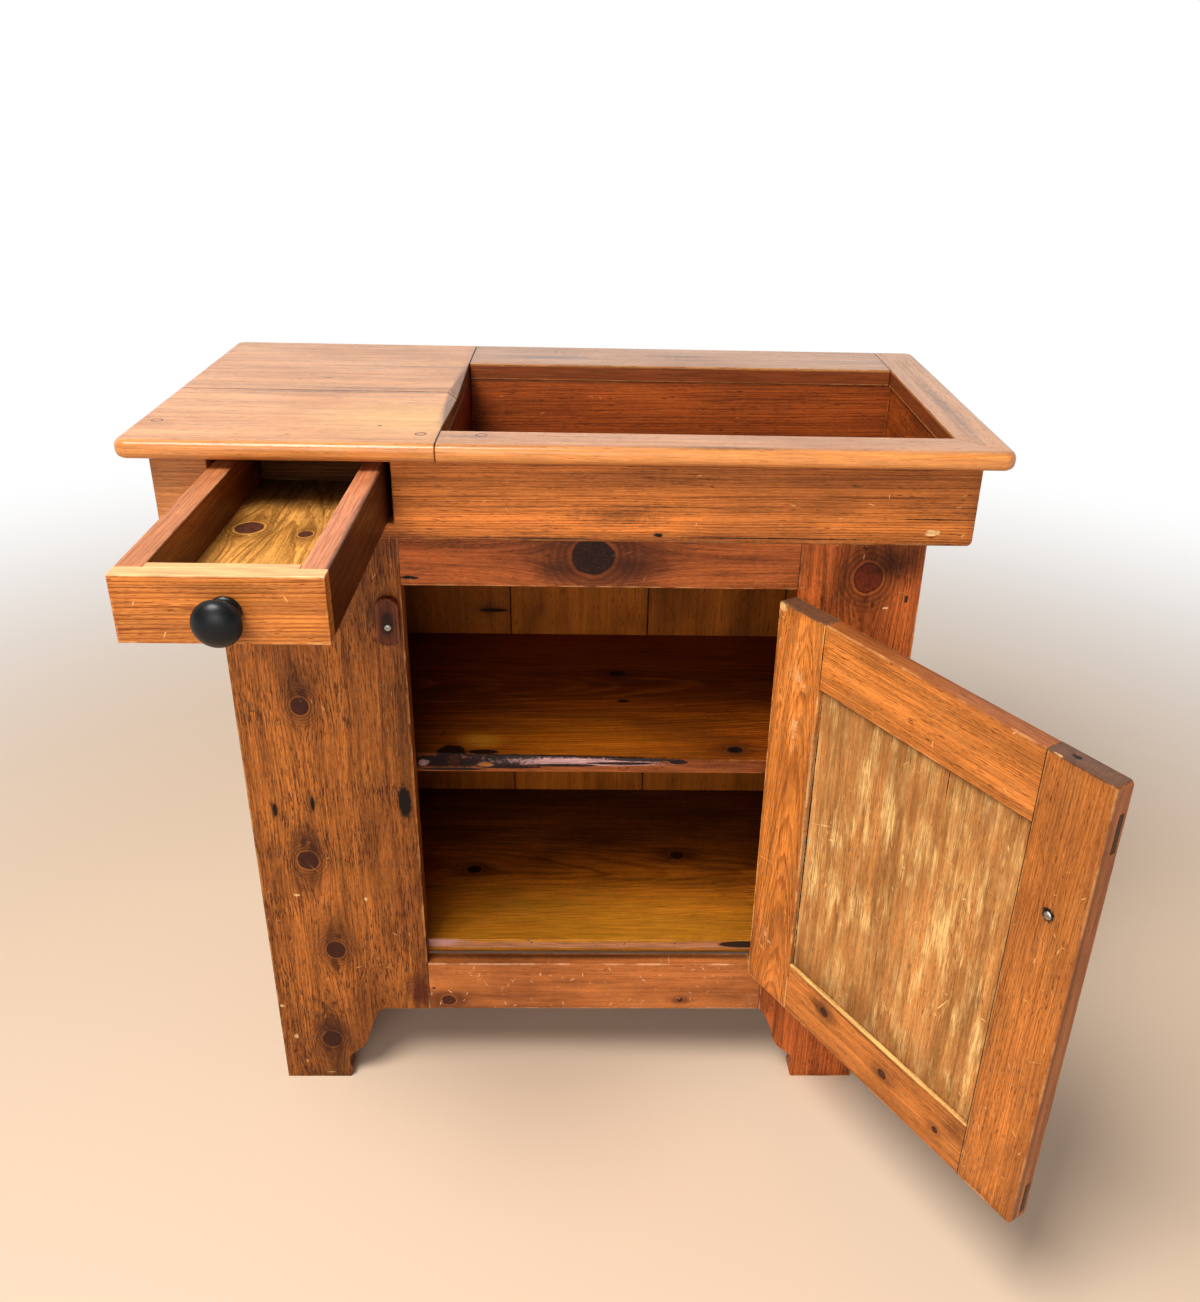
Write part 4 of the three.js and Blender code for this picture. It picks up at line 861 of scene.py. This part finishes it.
def plain(name, code, roughness, metallic=0.0):
    """Painted wood or metal with small changes of tone, scuffs and pits."""
    material, w, shader = new_material(name)
    point = w.add("ShaderNodeTexCoord").outputs["Object"]
    speck = w.noise(point, 420.0, 3.0, 0.6)
    patch = w.noise(point, 50.4, 2.0, 0.5)
    base = paint(code)
    dark = (*[c * 0.55 for c in base[:3]], 1.0)
    bright = [min(1.0, c * 1.5 + 0.01) for c in base]
    colour = w.mix(w.smooth(patch, 0.35, 0.7), base, dark)
    colour = w.mix(w.smooth(speck, 0.62, 0.75, 0.0, 0.7), colour, bright)
    w.feed(shader.inputs["Base Color"], colour)
    uneven = w.times(w.minus(patch, 0.5), 0.3)
    w.feed(shader.inputs["Roughness"], w.plus(roughness, uneven))
    shader.inputs["Metallic"].default_value = metallic
    shader.inputs["Specular IOR Level"].default_value = 0.25
    raise_grain(w, shader, speck, 0.2, 0.2 * MM)
    return material


BLACK_PAINT = plain("black_paint", "070708", 0.36)
WORN_IRON = plain("worn_iron", "4A4440", 0.5, metallic=0.85)
DULL_STEEL = plain("dull_steel", "A8A49C", 0.4, metallic=1.0)

for node, thing in frame["nodes"].items():
    for ending, material in (("_leaf", WORN_IRON), ("_pin", WORN_IRON), ("_screw", DULL_STEEL)):
        if node.endswith(ending):
            thing.data.materials.clear()
            thing.data.materials.append(material)

# Knob outline from its seat to its crown: radius and length, as shares of the two sizes
KNOB_OUTLINE = [
    (0.0, 0.0), (0.6, 0.0), (0.66, 0.03), (0.66, 0.08), (0.58, 0.11), (0.55, 0.14), (0.61, 0.17),
    (0.61, 0.21), (0.47, 0.25), (0.4, 0.32), (0.43, 0.39), (0.62, 0.46), (0.86, 0.53),
    (0.97, 0.6), (1.0, 0.67), (0.97, 0.75), (0.88, 0.83), (0.7, 0.91), (0.45, 0.97), (0.2, 0.995),
    (0.0, 1.0),
]


def finished(name, points, faces, material, body, lay=REST, smooth=True):
    """A new piece from points in a lay's own directions, riding on a body."""
    turn, zero = lay
    mesh = bpy.data.meshes.new(name)
    mesh.from_pydata([turn @ Vector(point) + zero for point in points], [], faces)
    mesh.validate()
    for polygon in mesh.polygons:
        polygon.use_smooth = smooth
    mesh.materials.append(material)
    thing = bpy.data.objects.new(name, mesh)
    scene.collection.objects.link(thing)
    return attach(thing, body)


def lathe(outline, sides):
    """Points and faces turned about the Y axis from (radius, y) pairs that start and end on it."""
    rings = outline[1:-1]
    angles = [2 * math.pi * i / sides for i in range(sides)]
    points = [(0.0, outline[0][1], 0.0)]
    for radius, y in rings:
        points += [(radius * math.cos(a), y, radius * math.sin(a)) for a in angles]
    points.append((0.0, outline[-1][1], 0.0))
    faces, last = [], len(points) - 1
    starts = range(1, last, sides)
    for i in range(sides):
        j = (i + 1) % sides
        faces.append((0, 1 + i, 1 + j))
        faces += [(a + i, a + sides + i, a + sides + j, a + j) for a in starts[:-1]]
        faces.append((starts[-1] + i, last, starts[-1] + j))
    return points, faces


def knob(name, node, body, lay=REST):
    """A turned knob of black painted wood in place of its plain solid."""
    solid = Board(node, "y", lay)
    radius = (solid.high.x - solid.low.x) / 2
    length = solid.high.y - solid.low.y
    outline = [(r * radius, solid.high.y - share * length) for r, share in KNOB_OUTLINE]
    points, faces = lathe(outline, sides=48)
    points = [(x + solid.middle.x, y, z + solid.middle.z) for x, y, z in points]
    thing = finished(name, points, faces, BLACK_PAINT, body, lay)
    bpy.context.view_layer.objects.active = thing
    rounder = thing.modifiers.new("rounder", "SUBSURF")
    rounder.levels = rounder.render_levels = 1
    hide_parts(node)


knob("turned_drawer_knob", "drawer_knob", "drawer")
knob("turned_door_knob", "door_knob", "door", OPEN_DOOR)


def slotted_head(radius, slot, rise):
    """A flat screw head in the YZ plane with a slot across it, standing rise out along X."""
    points, faces = [], []
    steps = 14
    reach = math.acos(slot / 2 / radius)
    for side in (1, -1):
        first = len(points)
        arc = [-reach + 2 * reach * i / steps for i in range(steps + 1)]
        rim = [(side * radius * math.cos(a), side * radius * math.sin(a)) for a in arc]
        for x in (0.0, rise):
            points += [(x, y, z) for y, z in rim]
        count = len(rim)
        faces.append(tuple(first + i for i in reversed(range(count))))
        faces.append(tuple(first + count + i for i in range(count)))
        for i in range(count):
            j = (i + 1) % count
            faces.append((first + i, first + j, first + count + j, first + count + i))
    return points, faces


def hinge_screws():
    """Three slotted screws in each leaf of the two hinges."""
    sink = 0.2 * MM
    points, faces = slotted_head(radius=3.1 * MM, slot=0.9 * MM, rise=0.08 * MM)
    for height in ("top", "bottom"):
        for leaf, body, lay, out, (axis_x, axis_y) in (
                ("frame", "cabinet", REST, -1, DOOR_HINGE["pos_m"][:2]),
                ("door", "door", OPEN_DOOR, 1, (0.0, 0.0))):
            plate = Board(f"hinge_{height}_{leaf}_leaf", "z", lay)
            for i, (step, back) in enumerate(((-0.022, 0.016), (0.0, 0.011), (0.022, 0.016))):
                turn = math.radians(25 + 50 * i)
                c, s = math.cos(turn), math.sin(turn)
                placed = [(axis_x - out * sink + out * x, axis_y + back + (y * c - z * s),
                           plate.middle.z + step + (y * s + z * c)) for x, y, z in points]
                finished(f"screw_{leaf}_{height}_{i + 1}", placed, faces, DULL_STEEL, body,
                         lay, smooth=False)


def cut_nail():
    """The head of an old cut nail in the right stile."""
    x, z = 0.3614, 0.7484
    half_width, half_height = 1.8 * MM, 4.1 * MM
    y = min(v.co.y for v in frame["nodes"]["stile_right"].data.vertices)
    points = [(x + sx * half_width * grow, y - rise, z + sz * half_height * grow)
              for rise, grow in ((0.0, 1.0), (0.4 * MM, 1.0), (0.7 * MM, 0.6))
              for sx, sz in ((-1, -1), (1, -1), (1, 1), (-1, 1))]
    faces = [(3, 2, 1, 0), (8, 9, 10, 11)]
    for k in (0, 4):
        faces += [(k + i, k + (i + 1) % 4, k + 4 + (i + 1) % 4, k + 4 + i) for i in range(4)]
    finished("nail_stile_right", points, faces, WORN_IRON, "cabinet", smooth=False)


hinge_screws()
cut_nail()


def studio():
    """Pale floor and soft lamps."""
    scene.view_settings.view_transform = "Standard"
    half = 40.0
    mesh = bpy.data.meshes.new("studio_floor")
    mesh.from_pydata([(-half, -half, 0), (half, -half, 0), (half, half, 0), (-half, half, 0)], [],
                     [(0, 1, 2, 3)])
    floor = bpy.data.objects.new("studio_floor", mesh)
    scene.collection.objects.link(floor)
    material, w, shader = new_material("pale floor")
    shader.inputs["Base Color"].default_value = paint("D9C0A7")
    shader.inputs["Roughness"].default_value = 0.6
    shader.inputs["Specular IOR Level"].default_value = 0.2
    distance = w.vector("LENGTH", w.add("ShaderNodeTexCoord").outputs["Object"])
    glow = w.add("ShaderNodeEmission")
    blend = w.add("ShaderNodeMixShader")
    w.feed(blend.inputs[0], w.smooth(distance, 0.9, 3.2))
    w.feed(blend.inputs[1], shader.outputs[0])
    w.feed(blend.inputs[2], glow.outputs[0])
    w.feed(material.node_tree.nodes["Material Output"].inputs[0], blend.outputs[0])
    mesh.materials.append(material)

    world = bpy.data.worlds.new("studio")
    scene.world = world
    world.use_nodes = True
    w = Wiring(world.node_tree)
    ground = world.node_tree.nodes["Background"]
    rays = w.add("ShaderNodeLightPath").outputs
    ground.inputs["Color"].default_value = (1, 1, 1, 1)
    ahead = w.split(w.add("ShaderNodeTexCoord").outputs["Generated"])[1]
    bounced = w.math("MAXIMUM", rays["Is Glossy Ray"], rays["Is Transmission Ray"])
    shine = w.times(bounced, w.smooth(ahead, -0.3, 0.5, 0.25, 1.0))
    seen = w.math("MAXIMUM", rays["Is Camera Ray"], shine)
    w.feed(ground.inputs["Strength"], w.math("MAXIMUM", 0.28, seen))

    aim = Vector((0, 0, 0.5))
    for name, place, size, power, colour in (
            ("key lamp", (-1.0, -1.4, 3.4), (1.3, 1.3), 150, (1, 0.98, 0.95)),
            ("front lamp", (-0.6, -3.2, 1.6), (1.8, 1.2), 42, (1, 1, 1))):
        data = bpy.data.lights.new(name, "AREA")
        data.shape = "RECTANGLE"
        data.size, data.size_y = size
        data.energy = power
        data.color = colour
        thing = bpy.data.objects.new(name, data)
        thing.location = place
        thing.rotation_euler = (aim - Vector(place)).to_track_quat("-Z", "Y").to_euler()
        scene.collection.objects.link(thing)


def camera():
    """The camera of the photograph. Its lens and its middle are measured in the photo's pixels."""
    pitch, yaw, roll = (math.radians(a) for a in (26.6434, 1.82695, 1.3932))
    place = (0.005056, -1.21709, 1.29076)
    focal, aside, above, photo_height = 1168.25, -27.585, -2.418, 1302
    sensor = 36.0
    forward = Vector((math.sin(yaw) * math.cos(pitch), math.cos(yaw) * math.cos(pitch),
                      -math.sin(pitch)))
    right = Vector((math.cos(yaw), -math.sin(yaw), 0))
    up = right.cross(forward)
    turned_right = right * math.cos(roll) + up * math.sin(roll)
    turned_up = up * math.cos(roll) - right * math.sin(roll)
    data = bpy.data.cameras.new("camera")
    data.sensor_width = sensor
    data.lens = sensor * focal / photo_height
    data.shift_x = aside / photo_height
    data.shift_y = above / photo_height
    data.clip_start = 10 * MM
    thing = bpy.data.objects.new("camera", data)
    turn = Matrix((turned_right, turned_up, -forward)).transposed().to_4x4()
    thing.matrix_world = Matrix.Translation(place) @ turn
    scene.collection.objects.link(thing)
    scene.camera = thing


studio()
camera()
